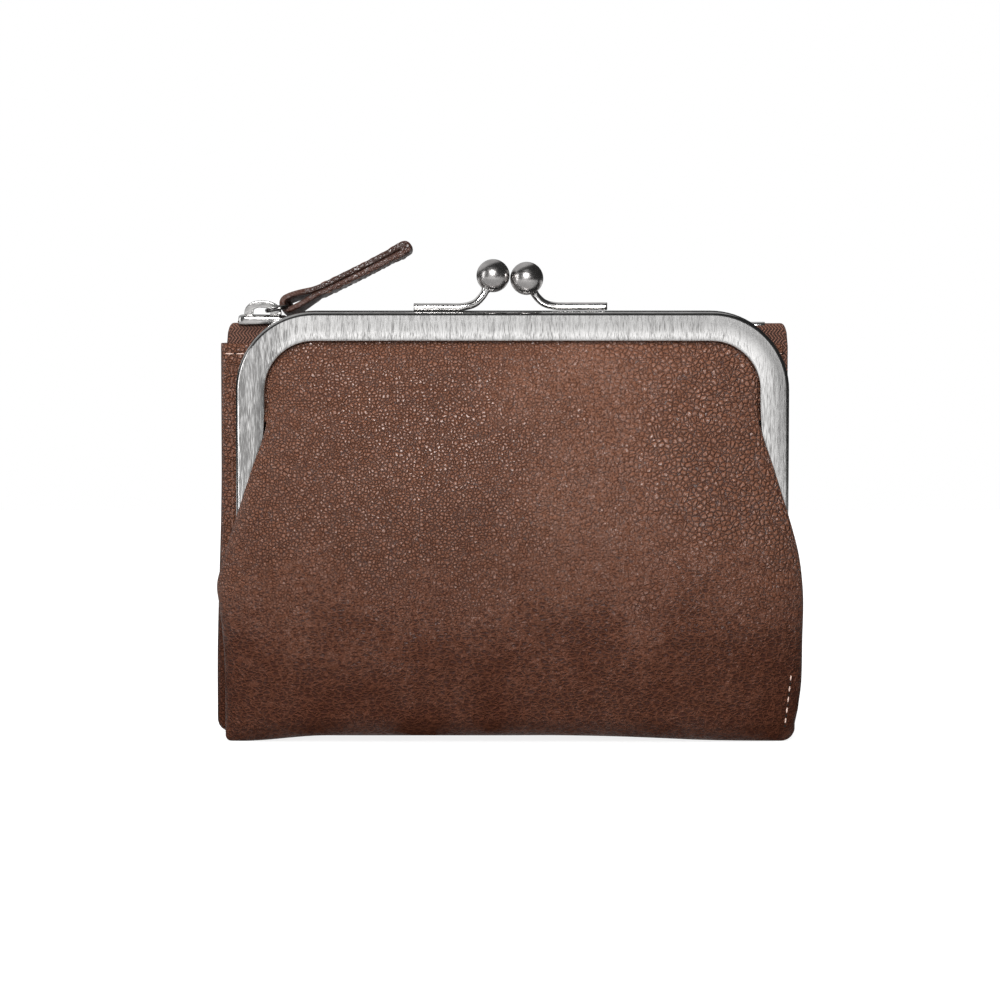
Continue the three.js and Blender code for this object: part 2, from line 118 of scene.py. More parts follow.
def through(knots: Knots, at: float) -> float:
    """Read a smooth curve that passes through a few knots.

    Args:
        knots: pairs of (place, value), in rising order of place.
        at: the place to read.

    Returns:
        The value there, held level past both ends.
    """
    if at <= knots[0][0]:
        return knots[0][1]
    if at >= knots[-1][0]:
        return knots[-1][1]
    slopes = []
    for i in range(len(knots)):
        before = knots[max(0, i - 1)]
        after = knots[min(len(knots) - 1, i + 1)]
        slopes.append((after[1] - before[1]) / (after[0] - before[0]))
    for i in range(len(knots) - 1):
        x0, y0 = knots[i]
        x1, y1 = knots[i + 1]
        if at <= x1:
            span = x1 - x0
            t = (at - x0) / span
            a = (1 + 2 * t) * (1 - t) ** 2
            b = t * (1 - t) ** 2
            c = t * t * (3 - 2 * t)
            d = t * t * (t - 1)
            return a * y0 + b * span * slopes[i] + c * y1 + d * span * slopes[i + 1]
    return knots[-1][1]


def bell(value: float, centre: float, width: float) -> float:
    """A smooth bump of height 1 at centre, about width to each side."""
    return math.exp(-(((value - centre) / width) ** 2))


def waver(place: Point, size: float, seed: float) -> float:
    """Slow, repeatable unevenness.

    Args:
        place: a point, in metres.
        size: the length of one wave, in metres.
        seed: a number that picks one pattern.

    Returns:
        A number from about -1 to 1.
    """
    return noise.noise(Vector(place) / size + Vector((seed, 2.0 * seed, -seed)))


def dimmed(colour: Colour, share: float) -> Colour:
    """The same colour, darker."""
    return tuple(share * part for part in colour[:3]) + (1.0,)


# ---------------------------------------------------------------- materials
class Shader:
    """One material's nodes while they are being joined up."""

    def __init__(self, name: str) -> None:
        """Start a material with a Principled shader and object coordinates."""
        self.material = bpy.data.materials.new(name)
        self.material.use_nodes = True
        self.tree = self.material.node_tree
        self.surface = self.tree.nodes["Principled BSDF"]
        self.place = self.node("ShaderNodeTexCoord").outputs["Object"]

    def node(self, kind: str, **settings: object) -> bpy.types.Node:
        """Add a node.

        Args:
            kind: the node's type.
            settings: properties of the node.

        Returns:
            The new node.
        """
        made = self.tree.nodes.new(kind)
        for key, value in settings.items():
            setattr(made, key, value)
        return made

    def join(self, source: Socket, target: Socket) -> None:
        """Link two sockets."""
        self.tree.links.new(source, target)

    def feed(self, socket: Socket, value: object) -> None:
        """Set a socket from a number, a colour or another socket."""
        if isinstance(value, Socket):
            self.join(value, socket)
        else:
            socket.default_value = value

    def stretched(self, scale: Point, turn: Point = (0, 0, 0), source: Optional[Socket] = None) -> Socket:
        """Scale and turn the coordinates.

        Args:
            scale: how many times denser the pattern is along each axis.
            turn: rotation in radians.
            source: coordinates other than the object's.

        Returns:
            The mapped coordinates.
        """
        mapping = self.node("ShaderNodeMapping")
        mapping.inputs["Scale"].default_value = scale
        mapping.inputs["Rotation"].default_value = turn
        self.join(source or self.place, mapping.inputs["Vector"])
        return mapping.outputs["Vector"]

    def axis(self, name: str, where: Optional[Socket] = None) -> Socket:
        """One coordinate of a place, by default of the object's own."""
        split = self.node("ShaderNodeSeparateXYZ")
        self.join(where or self.place, split.inputs[0])
        return split.outputs[name]

    def noise(self, size: float, detail: float = 2.0, where: Optional[Socket] = None) -> Socket:
        """Cloudy noise whose blotches are about size across, in metres."""
        made = self.node("ShaderNodeTexNoise")
        made.inputs["Scale"].default_value = 1.0 / size
        made.inputs["Detail"].default_value = detail
        self.join(where or self.place, made.inputs["Vector"])
        return made.outputs["Fac"]

    def cells(self, size: float, where: Socket, feature: str = "DISTANCE_TO_EDGE") -> Socket:
        """Cell pattern, by default the distance to the nearest cell border."""
        made = self.node("ShaderNodeTexVoronoi", feature=feature)
        made.inputs["Scale"].default_value = 1.0 / size
        made.inputs["Randomness"].default_value = 0.9
        self.join(where, made.inputs["Vector"])
        return made.outputs["Distance"]

    def math(self, operation: str, a: object, b: object = 0.0, clamp: bool = False) -> Socket:
        """Arithmetic on two numbers or sockets."""
        made = self.node("ShaderNodeMath", operation=operation, use_clamp=clamp)
        self.feed(made.inputs[0], a)
        self.feed(made.inputs[1], b)
        return made.outputs[0]

    def ramp(self, value: Socket, low: float, high: float, out_low: float = 0.0, out_high: float = 1.0) -> Socket:
        """Remap a value smoothly between two limits."""
        made = self.node("ShaderNodeMapRange", interpolation_type="SMOOTHSTEP")
        self.join(value, made.inputs["Value"])
        made.inputs["From Min"].default_value = low
        made.inputs["From Max"].default_value = high
        made.inputs["To Min"].default_value = out_low
        made.inputs["To Max"].default_value = out_high
        return made.outputs["Result"]

    def mix(self, share: object, first: object, second: object) -> Socket:
        """Mix two colours."""
        made = self.node("ShaderNodeMix", data_type="RGBA")
        self.feed(made.inputs[0], share)
        self.feed(made.inputs[6], first)
        self.feed(made.inputs[7], second)
        return made.outputs[2]

    def warped(self, where: Socket, size: float, reach: float) -> Socket:
        """Shift coordinates by noise, so that a regular pattern turns organic.

        Args:
            where: the coordinates to shift.
            size: the size of the noise.
            reach: how far a point may move, in the coordinates' units.

        Returns:
            The shifted coordinates.
        """
        made = self.node("ShaderNodeTexNoise")
        made.inputs["Scale"].default_value = 1.0 / size
        self.join(self.place, made.inputs["Vector"])
        centred = self.node("ShaderNodeVectorMath", operation="SUBTRACT")
        self.join(made.outputs["Color"], centred.inputs[0])
        centred.inputs[1].default_value = (0.5, 0.5, 0.5)
        scaled = self.node("ShaderNodeVectorMath", operation="SCALE")
        self.join(centred.outputs[0], scaled.inputs[0])
        scaled.inputs["Scale"].default_value = reach
        added = self.node("ShaderNodeVectorMath", operation="ADD")
        self.join(where, added.inputs[0])
        self.join(scaled.outputs[0], added.inputs[1])
        return added.outputs[0]

    def bump(self, height: Socket, depth: float, strength: float = 1.0, under: Optional[Socket] = None) -> Socket:
        """Raise the surface by a height pattern, depth metres from low to high."""
        made = self.node("ShaderNodeBump")
        made.inputs["Strength"].default_value = strength
        made.inputs["Distance"].default_value = depth
        self.join(height, made.inputs["Height"])
        if under is not None:
            self.join(under, made.inputs["Normal"])
        return made.outputs["Normal"]


@dataclass(frozen=True)
class Leather:
    """Soft pebbled leather: domed grain cells, drawn-out creases and slow changes of tone, with painted shade that
    darkens it towards the bottom and painted shade and light in its grain.
    """

    name: str = "pebbled_leather"
    light: Colour = (0.150, 0.064, 0.038, 1.0)
    dark: Colour = (0.060, 0.021, 0.012, 1.0)
    # Painted shade: the colour of the grain's creases.
    crease_shade: Colour = (0.034, 0.012, 0.008, 1.0)
    grain: float = 0.74 * MM
    depth: float = 0.42 * MM
    rough: Tuple[float, float] = (0.29, 0.40)
    varied: bool = True

    @staticmethod
    def pebbles(shader: Shader, size: float, where: Socket) -> Socket:
        """Rounded grain: a dome in each cell, with a crease all round it."""
        edge = shader.cells(size, where)
        return shader.math("ADD", shader.ramp(edge, -0.05, 0.34, 0.0, 0.84), shader.ramp(edge, 0.0, 0.08, 0.0, 0.16))

    def grain_height(self, shader: Shader) -> Socket:
        """The grain's height: fine on the left, coarse on the right and drawn out low down."""
        organic = shader.warped(shader.warped(shader.place, 2.2 * MM, 0.9 * MM), 0.7 * MM, 0.35 * MM)
        fine = self.pebbles(shader, self.grain, organic)
        if not self.varied:
            return fine
        coarse = self.pebbles(shader, 1.42 * self.grain, organic)
        strained = shader.stretched((0.55, 0.8, 1.10), (0.0, 0.10, 0.0), organic)
        ridges = shader.math("SUBTRACT", 1.0, shader.ramp(shader.cells(0.80 * MM, strained), -0.06, 0.28))
        drawn = shader.math("ADD", shader.math("MULTIPLY", ridges, 0.72), shader.math("MULTIPLY", fine, 0.12))
        wobble = shader.math("MULTIPLY", shader.math("SUBTRACT", shader.noise(16 * MM, 4.0), 0.5), 60 * MM)
        aside = shader.ramp(shader.math("ADD", shader.axis("X"), wobble), -12 * MM, 46 * MM)
        below = shader.math("ADD", shader.axis("Z"), wobble)
        low = shader.ramp(below, 16 * MM, 48 * MM, 1.0, 0.0)
        upper = self.blend(shader, aside, shader.math("MULTIPLY", fine, 0.80), coarse)
        return self.blend(shader, low, upper, drawn)

    @staticmethod
    def blend(shader: Shader, share: Socket, first: Socket, second: Socket) -> Socket:
        """Fade one pattern into another."""
        mixed = shader.node("ShaderNodeMix", data_type="FLOAT")
        shader.join(share, mixed.inputs[0])
        shader.join(first, mixed.inputs[2])
        shader.join(second, mixed.inputs[3])
        return mixed.outputs[0]

    def material(self) -> Material:
        """Build the leather's nodes.

        Returns:
            The finished material.
        """
        shader = Shader(self.name)
        height = self.grain_height(shader)
        # Painted shade and light: by height alone, the tone darkens towards the bottom and lightens towards the top,
        # as if lit from above.
        raised = shader.ramp(shader.axis("Z"), 4 * MM, 66 * MM, -0.45, 0.38)
        cloud = shader.ramp(shader.noise(15 * MM, 3.0), 0.25, 0.75, 0.41, 0.61)
        tone = shader.math("ADD", cloud, raised, clamp=True)
        body = shader.mix(tone, self.dark, self.light)
        speck = shader.ramp(shader.noise(0.4 * MM, 2.0), 0.3, 0.7, 0.80, 1.18)
        tinted = shader.node("ShaderNodeVectorMath", operation="SCALE")
        shader.join(body, tinted.inputs[0])
        shader.join(speck, tinted.inputs["Scale"])
        # Painted shade and light in the grain: low parts of the height take the dark crease colour and high parts the
        # lit body colour, so creases look shaded and the drawn ridges low down look lit.
        shader.join(shader.mix(shader.ramp(height, 0.0, 0.42), self.crease_shade, tinted.outputs[0]),
                    shader.surface.inputs["Base Color"])
        worn = shader.ramp(shader.noise(9 * MM, 3.0), 0.35, 0.65, self.rough[0], self.rough[1])
        shader.join(worn, shader.surface.inputs["Roughness"])
        # The specular level follows the same tone, so the painted light near the top also glints more: a painted
        # sheen.
        sheen = shader.math("MULTIPLY", tone, shader.ramp(shader.noise(1.6 * MM, 3.0), 0.30, 0.70, 0.30, 0.95))
        shader.join(sheen, shader.surface.inputs["Specular IOR Level"])
        pores = shader.bump(shader.noise(0.25 * MM, 2.0), 0.05 * MM)
        skin = shader.bump(height, self.depth, 1.0, pores)
        slack = shader.bump(shader.noise(6 * MM, 2.0), 0.40 * MM, 0.8, skin)
        shader.join(slack, shader.surface.inputs["Normal"])
        return shader.material


@dataclass(frozen=True)
class BrushedNickel:
    """Bright nickel with fine upright brush strokes, with painted shade on the left leg, a painted highlight at the
    right corner and painted shading across the top bar.
    """

    name: str = "brushed_nickel"
    bright: Colour = (0.88, 0.87, 0.86, 1.0)
    dull: Colour = (0.27, 0.265, 0.26, 1.0)
    stroke: Point = (1.0, 1.0, 0.045)

    def material(self) -> Material:
        """Build the brushed metal's nodes.

        Returns:
            The finished material.
        """
        shader = Shader(self.name)
        along = shader.stretched(self.stroke)
        streak = shader.noise(0.10 * MM, 2.0, along)
        broad = shader.noise(0.55 * MM, 2.0, along)
        both = shader.math("ADD", shader.math("MULTIPLY", streak, 0.72), shader.math("MULTIPLY", broad, 0.28))
        # Painted highlight: the share named polished lightens the right corner and the top of the right leg, and
        # darkens its lower part a little, by position alone.
        aside = shader.ramp(shader.axis("X"), 40 * MM, 54 * MM, 0.0, 0.10)
        polished = shader.math("MULTIPLY", aside, shader.ramp(shader.axis("Z"), 74 * MM, 92 * MM, -0.15, 1.0))
        # Painted shade: the left leg is made darker by its position alone.
        painted_left_leg_shade = shader.ramp(shader.axis("X"), -58 * MM, -44 * MM, 0.11, 0.0)
        # Painted shading across the top bar: darker at its top edge, lighter at its lower edge.
        painted_top_bar_shading = shader.ramp(shader.axis("Z"), 94.5 * MM, 101.5 * MM, 0.030, -0.035)
        # The painted shade and highlights added together.
        level = shader.math("ADD", shader.math("SUBTRACT", polished, painted_left_leg_shade), painted_top_bar_shading)
        shade = shader.ramp(shader.math("ADD", both, level), 0.37, 0.585)
        shader.join(shader.mix(shade, self.dull, self.bright), shader.surface.inputs["Base Color"])
        shader.join(shader.ramp(streak, 0.35, 0.65, 0.24, 0.15), shader.surface.inputs["Roughness"])
        shader.surface.inputs["Metallic"].default_value = 1.0
        shader.join(shader.bump(both, 0.010 * MM), shader.surface.inputs["Normal"])
        return shader.material


@dataclass(frozen=True)
class PolishedMetal:
    """Plated metal with a polish that is slightly uneven and a few hairline scratches; where top is below 1, its
    colour darkens on top of the frame as painted shade.
    """

    name: str
    colour: Colour
    rough: float = 0.12
    # The share of the colour kept on top of the frame; below 1 it paints shade there.
    top: float = 1.0

    def material(self) -> Material:
        """Build the polished metal's nodes.

        Returns:
            The finished material.
        """
        shader = Shader(self.name)
        cloud = shader.noise(2.5 * MM, 3.0)
        worn = dimmed(self.colour, 0.78)
        plate = shader.mix(shader.ramp(cloud, 0.35, 0.7), worn, self.colour)
        # Painted shade: the colour darkens towards the top of the frame, standing in for a dark reflection.
        if self.top < 1.0:
            crest = dimmed(self.colour, self.top)
            plate = shader.mix(shader.ramp(shader.axis("Z"), 93 * MM, 100 * MM), plate, crest)
        shader.join(plate, shader.surface.inputs["Base Color"])
        scratch = shader.noise(0.2 * MM, 2.0, shader.stretched((0.15, 1.0, 1.0), (0.3, 0.5, 0.2)))
        uneven = shader.ramp(scratch, 0.45, 0.75, self.rough, self.rough + 0.13)
        shader.join(uneven, shader.surface.inputs["Roughness"])
        shader.surface.inputs["Metallic"].default_value = 1.0
        shader.join(shader.bump(cloud, 0.006 * MM), shader.surface.inputs["Normal"])
        return shader.material


@dataclass(frozen=True)
class WovenTape:
    """Zip tape in a herringbone weave that follows the tape's own length and width; the low parts of the weave are
    painted near-black as shade.
    """

    name: str = "zip_tape_weave"
    ridge: Colour = (0.215, 0.098, 0.066, 1.0)
    gap: Colour = (0.008, 0.003, 0.002, 1.0)
    rib: float = 0.72 * MM
    band: float = 1.05 * MM

    def material(self) -> Material:
        """Build the tape's nodes on the piece's UV map, which is in metres.

        Returns:
            The finished material.
        """
        shader = Shader(self.name)
        uv = shader.node("ShaderNodeTexCoord").outputs["UV"]
        zigzag = shader.math("PINGPONG", shader.axis("Y", uv), self.band)
        along = shader.math("ADD", shader.axis("X", uv), shader.math("MULTIPLY", zigzag, 0.8))
        phase = shader.math("MULTIPLY", along, 2.0 * math.pi / self.rib)
        ribs = shader.ramp(shader.math("SINE", phase), -1.0, 1.0)
        cross = shader.math("MULTIPLY", zigzag, 4.0 * math.pi / self.rib)
        yarn = shader.ramp(shader.math("SINE", cross), -1.0, 1.0, 0.75, 1.0)
        height = shader.math("MULTIPLY", ribs, yarn)
        fuzz = shader.noise(0.15 * MM, 3.0)
        shade = shader.math("ADD", shader.math("MULTIPLY", height, 0.8), shader.math("MULTIPLY", fuzz, 0.25))
        # Painted shade: the colour runs from the ridge colour on the yarns to the near-black gap colour where the
        # weave sinks.
        shader.join(shader.mix(shade, self.gap, self.ridge), shader.surface.inputs["Base Color"])
        shader.join(shader.ramp(fuzz, 0.3, 0.7, 0.72, 0.9), shader.surface.inputs["Roughness"])
        shader.join(shader.bump(shade, 0.42 * MM), shader.surface.inputs["Normal"])
        return shader.material


@dataclass(frozen=True)
class Cloth:
    """A plain weave, used for the lining and, coarser, for the paper cord; darker between the threads as painted
    shade.
    """

    name: str
    colour: Colour
    thread: float = 0.35 * MM

    def material(self) -> Material:
        """Build the weave's nodes.

        Returns:
            The finished material.
        """
        shader = Shader(self.name)
        waves = []
        for turn in (0.0, math.pi / 2):
            wave = shader.node("ShaderNodeTexWave", bands_direction="X")
            wave.inputs["Scale"].default_value = 0.31 / self.thread
            wave.inputs["Distortion"].default_value = 0.6
            shader.join(shader.stretched((1, 1, 1), (0, turn, 0)), wave.inputs["Vector"])
            waves.append(wave.outputs["Fac"])
        weave = shader.math("MAXIMUM", waves[0], waves[1])
        fuzz = shader.noise(1.2 * MM, 3.0)
        shade = shader.math("MULTIPLY", weave, shader.ramp(fuzz, 0.3, 0.7, 0.7, 1.0))
        # Painted shade: a darker copy of the colour where the weave sinks.
        deep = dimmed(self.colour, 0.35)
        shader.join(shader.mix(shade, deep, self.colour), shader.surface.inputs["Base Color"])
        shader.join(shader.ramp(fuzz, 0.3, 0.7, 0.8, 0.95), shader.surface.inputs["Roughness"])
        shader.join(shader.bump(weave, 0.06 * MM), shader.surface.inputs["Normal"])
        return shader.material


@dataclass(frozen=True)
class Thread:
    """Twisted thread or moulded nylon: one colour broken up by fine twist, with a darker copy of it in the twist's
    hollows as painted shade.
    """

    name: str
    colour: Colour
    rough: float = 0.6

    def material(self) -> Material:
        """Build the thread's nodes.

        Returns:
            The finished material.
        """
        shader = Shader(self.name)
        twist = shader.noise(0.12 * MM, 2.0, shader.stretched((1.0, 1.0, 0.5), (0.4, 0.6, 0.0)))
        # Painted shade: a darker copy of the colour in the twist's hollows.
        deep = dimmed(self.colour, 0.45)
        shader.join(shader.mix(shader.ramp(twist, 0.3, 0.65), deep, self.colour), shader.surface.inputs["Base Color"])
        shader.join(shader.ramp(twist, 0.3, 0.7, self.rough, self.rough + 0.2), shader.surface.inputs["Roughness"])
        shader.join(shader.bump(twist, 0.03 * MM), shader.surface.inputs["Normal"])
        return shader.material


class Finishes:
    """Every finish on the purse, made once and shared."""

    def __init__(self) -> None:
        """Make the materials."""
        self.leather = Leather().material()
        self.pocket_leather = Leather(name="pocket_leather", varied=False, grain=0.8 * MM).material()
        self.tab_leather = Leather(
            name="tab_leather", varied=False, grain=0.6 * MM, depth=0.08 * MM, rough=(0.28, 0.46),
            light=(0.066, 0.030, 0.021, 1.0), dark=(0.034, 0.014, 0.010, 1.0)).material()
        self.edge_paint = Leather(
            name="glossed_edge", varied=False, grain=1.1 * MM, depth=0.10 * MM, rough=(0.16, 0.32),
            light=(0.040, 0.022, 0.017, 1.0), dark=(0.018, 0.009, 0.007, 1.0)).material()
        self.brushed = BrushedNickel().material()
        # The rim's colour is darkened to a tenth on top of the frame as painted shade.
        self.rim = PolishedMetal("polished_rim", (0.46, 0.455, 0.45, 1.0), 0.13, 0.10).material()
        self.dark_nickel = PolishedMetal("black_nickel", (0.56, 0.54, 0.53, 1.0), 0.25).material()
        self.arm = PolishedMetal("nickel_arm", (0.80, 0.785, 0.77, 1.0), 0.14).material()
        self.zip_metal = PolishedMetal("zip_nickel", (0.60, 0.59, 0.58, 1.0), 0.13).material()
        self.ring = PolishedMetal("ring_nickel", (0.20, 0.195, 0.19, 1.0), 0.16).material()
        self.tape = WovenTape().material()
        self.coil = Thread("nylon_coil", (0.10, 0.045, 0.030, 1.0), 0.42).material()
        self.lining = Cloth("lining_weave", (0.20, 0.12, 0.08, 1.0)).material()
        self.paper = Cloth("paper_cord_twist", (0.46, 0.33, 0.19, 1.0), 0.5 * MM).material()
        self.pale_thread = Thread("pale_thread", (0.72, 0.52, 0.44, 1.0)).material()
        self.brown_thread = Thread("brown_thread", (0.16, 0.075, 0.050, 1.0)).material()
        # Painted shade: near-black beads stand in for the shade inside the needle holes.
        self.hole = Thread("needle_hole", (0.006, 0.004, 0.003, 1.0), 0.9).material()


# ---------------------------------------------------------------- mesh helpers
def finished(name: str, bm: Mesh, *finishes: Material, sharp: float = 50.0, outward: bool = True) -> Piece:
    """Turn a bmesh into an object with smooth shading.

    Args:
        name: the piece's name.
        bm: the mesh being built, which is freed.
        finishes: the piece's materials, in slot order.
        sharp: edges that turn by more than this many degrees stay crisp.
        outward: recalculate the normals to face outwards.

    Returns:
        The new object, at the origin.
    """
    if outward:
        bmesh.ops.recalc_face_normals(bm, faces=bm.faces)
    for face in bm.faces:
        face.smooth = True
    mesh = bpy.data.meshes.new(name)
    bm.to_mesh(mesh)
    bm.free()
    mesh.set_sharp_from_angle(angle=math.radians(sharp))
    piece = bpy.data.objects.new(name, mesh)
    bpy.context.scene.collection.objects.link(piece)
    for finish in finishes:
        mesh.materials.append(finish)
    return piece


def thickened(piece: Piece, thickness: float) -> Piece:
    """Give a sheet its thickness, inwards, and keep the result as its final mesh.

    Args:
        piece: an open sheet whose faces point outwards.
        thickness: the sheet's thickness.

    Returns:
        The same object, with a closed mesh.
    """
    wall = piece.modifiers.new("thickness", "SOLIDIFY")
    wall.thickness = thickness
    wall.offset = -1.0
    wall.use_even_offset = False
    graph = bpy.context.evaluated_depsgraph_get()
    solid = bpy.data.meshes.new_from_object(piece.evaluated_get(graph), preserve_all_data_layers=True,
                                            depsgraph=graph)
    piece.modifiers.clear()
    piece.data = solid
    return piece


def moulded_sheet(columns: int, rows: int, place: Callable[[float, float], Point],
                  flat_uv: Optional[Callable[[float, float], Tuple[float, float]]] = None) -> Mesh:
    """Mould a grid into a shape.

    Args:
        columns: grid cells across.
        rows: grid cells from top to bottom.
        place: gives a point for u in -1..1 across and t in 0..1 from top to bottom.
        flat_uv: gives UV coordinates for the same u and t.

    Returns:
        The moulded mesh.
    """
    bm = bmesh.new()
    bmesh.ops.create_grid(bm, x_segments=columns, y_segments=rows, size=1.0)
    spots = {vert: (vert.co.x, (1.0 - vert.co.y) / 2.0) for vert in bm.verts}
    if flat_uv is not None:
        layer = bm.loops.layers.uv.new("weave")
        for face in bm.faces:
            for loop in face.loops:
                loop[layer].uv = flat_uv(*spots[loop.vert])
    for vert, (u, t) in spots.items():
        vert.co = place(u, t)
    return bm


def facing(bm: Mesh, way: Vector) -> Mesh:
    """Turn a sheet's faces so that on the whole they look one way, and return the sheet."""
    bmesh.ops.recalc_face_normals(bm, faces=bm.faces)
    if sum(face.normal.dot(way) for face in bm.faces) < 0:
        bmesh.ops.reverse_faces(bm, faces=bm.faces)
    return bm


def extruded_outline(bm: Mesh, outline: Sequence[Point], along: Point) -> List[Corner]:
    """Make a face from an outline and extrude it into a solid.

    Args:
        bm: the mesh to add to.
        outline: the face's corners in order.
        along: how far to extrude.

    Returns:
        All the solid's vertices.
    """
    verts = [bm.verts.new(corner) for corner in outline]
    face = bm.faces.new(verts)
    grown = bmesh.ops.extrude_face_region(bm, geom=[face])["geom"]
    moved = [item for item in grown if isinstance(item, Corner)]
    bmesh.ops.translate(bm, verts=moved, vec=along)
    return verts + moved


def softened(bm: Mesh, width: float, segments: int = 3, angle: float = 30.0) -> None:
    """Round every edge that turns by more than an angle.

    Args:
        bm: the mesh to change.
        width: the width of the rounding.
        segments: how many faces it takes.
        angle: the least turn, in degrees, that is rounded.
    """
    limit = math.radians(angle)
    edges = [e for e in bm.edges if len(e.link_faces) == 2 and e.calc_face_angle(0.0) > limit]
    bmesh.ops.bevel(bm, geom=edges, offset=width, affect="EDGES", segments=segments, profile=0.5,
                    material=-1, clamp_overlap=True)


def swept_bar(bm: Mesh, route: Sequence[Point], widths: Sequence[Tuple[float, float]], sides: int = 16) -> None:
    """Extrude an oval ring along a route, with its own width at each point.

    Args:
        bm: the mesh to add to.
        route: the points that the bar's middle passes through.
        widths: half of the bar's height and half of its depth at each point.
        sides: how many sides the bar has.
    """
    points = [Vector(p) for p in route]
    ring = bmesh.ops.create_circle(bm, cap_ends=False, segments=sides, radius=1.0)["verts"]
    unit = [vert.co.copy() for vert in ring]
    first_ring = ring
    for index, point in enumerate(points):
        ahead = points[min(len(points) - 1, index + 1)] - points[max(0, index - 1)]
        ahead.normalize()
        across = Vector((0, 1, 0)) - ahead * ahead.y
        across.normalize()
        up = ahead.cross(across)
        if index > 0:
            edges = [e for e in bm.edges if e.verts[0] in ring and e.verts[1] in ring]
            grown = bmesh.ops.extrude_edge_only(bm, edges=edges)["geom"]
            fresh = [item for item in grown if isinstance(item, Corner)]
            order = {tuple(vert.co): vert for vert in fresh}
            ring = [order[tuple(vert.co)] for vert in ring]
        tall, deep = widths[index]
        for vert, spot in zip(ring, unit):
            vert.co = point + up * (spot.x * tall) + across * (spot.y * deep)
    bm.faces.new(list(reversed(first_ring)))
    bm.faces.new(ring)


def smooth_route(points: Sequence[Point], steps: int) -> List[Vector]:
    """Even out a route into many short steps with a smooth curve through its points."""
    curve = []
    for axis in range(3):
        knots = [(float(i), point[axis]) for i, point in enumerate(points)]
        curve.append([through(knots, i * (len(points) - 1) / steps) for i in range(steps + 1)])
    return [Vector(place) for place in zip(*curve)]


@dataclass(frozen=True)
class StitchRow:
    """A row of lock stitches: short plump threads sunk a little into the surface, each followed by a near-black
    flattened bead that paints the shade of a needle hole.
    """

    length: float = 1.9 * MM
    gap: float = 0.65 * MM
    thick: float = 0.24 * MM
    sunk: float = 0.02 * MM

    def sew(self, name: str, route: Sequence[Vector], out: Callable[[Vector], Vector], thread: Material,
            hole: Material) -> Piece:
        """Lay stitches along a route on a surface.

        Args:
            name: the piece's name.
            route: closely spaced points along the seam.
            out: gives the outward direction of the surface at a point.
            thread: the thread's material.
            hole: the material of the beads that paint the needle holes' shade.

        Returns:
            The row as one object.
        """
        lengths = [0.0]
        for a, b in zip(route, route[1:]):
            lengths.append(lengths[-1] + (b - a).length)
        pitch = self.length + self.gap
        count = max(1, int((lengths[-1] + self.gap) / pitch))
        start = (lengths[-1] - count * pitch + self.gap) / 2.0
        bm = bmesh.new()
        for index in range(count):
            begin = self.spot(route, lengths, start + index * pitch)
            end = self.spot(route, lengths, start + index * pitch + self.length)
            self.one_stitch(bm, begin, end, out((begin + end) / 2.0))
        return finished(name, bm, thread, hole, sharp=80.0)

    @staticmethod
    def spot(route: Sequence[Vector], lengths: Sequence[float], at: float) -> Vector:
        """The point a given length along the route."""
        for index in range(1, len(route)):
            if at <= lengths[index]:
                share = (at - lengths[index - 1]) / max(1e-9, lengths[index] - lengths[index - 1])
                return route[index - 1].lerp(route[index], share)
        return route[-1].copy()

    def one_stitch(self, bm: Mesh, begin: Vector, end: Vector, out: Vector) -> None:
        """Add one stitch and, at its end, a dark bead that paints the shade of its needle hole."""
        ahead = (end - begin).normalized()
        out = (out - ahead * out.dot(ahead)).normalized()
        turn = Matrix((ahead, out.cross(ahead), out)).transposed().to_4x4()
        middle = (begin + end) / 2.0 - out * self.sunk
        size = Matrix.Diagonal((self.length / 2.0, self.thick, self.thick * 0.9, 1.0))
        made = bmesh.ops.create_uvsphere(bm, u_segments=6, v_segments=6, radius=1.0,
                                         matrix=Matrix.Rotation(math.pi / 2, 4, "Y"))["verts"]
        bmesh.ops.transform(bm, matrix=Matrix.Translation(middle) @ turn @ size, verts=made)
        dot = Matrix.Diagonal((0.32 * MM, 0.26 * MM, 0.06 * MM, 1.0))
        place = Matrix.Translation(end + ahead * self.gap / 2.0) @ turn @ dot
        # The needle hole is not cut: a flattened near-black bead on the surface paints its shade.
        pit = bmesh.ops.create_uvsphere(bm, u_segments=6, v_segments=4, radius=1.0)["verts"]
        bmesh.ops.transform(bm, matrix=place, verts=pit)
        for face in {f for vert in pit for f in vert.link_faces}:
            face.material_index = 1


def settle(piece: Piece, body: str, slot: str, *nodes: str) -> Piece:
    """Fix a piece to a body and hide the solids that it stands for.

    Args:
        piece: the finished piece.
        body: the body it moves with.
        slot: not used.
        nodes: the solids it replaces.

    Returns:
        The same piece.
    """
    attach(piece, body)
    if nodes:
        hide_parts(*nodes)
    LOG.info("%s rides on %s: %d faces", piece.name, body, len(piece.data.polygons))
    return piece


@dataclass(frozen=True)
class Layout:
    """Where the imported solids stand; every piece takes its place from these."""

    frame_half: float
    frame_top: float
    face: float
    hinge: Vector
    pouch_back: float
    pocket_low: Vector
    pocket_high: Vector

    @staticmethod
    def read(joints: Sequence[Dict[str, object]]) -> "Layout":
        """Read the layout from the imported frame.

        Args:
            joints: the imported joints.

        Returns:
            The layout.
        """
        low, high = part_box("frame_front")
        hinge = next(j for j in joints if j["name"] == "frame_hinge")
        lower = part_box("front_panel_lower")
        wall_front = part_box("zip_pocket_front_wall")
        wall_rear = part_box("zip_pocket_rear_wall")
        return Layout(
            frame_half=high.x, frame_top=high.z, face=low.y, hinge=Vector(hinge["pos_m"]),
            pouch_back=lower[1].y, pocket_low=wall_front[0], pocket_high=wall_rear[1])


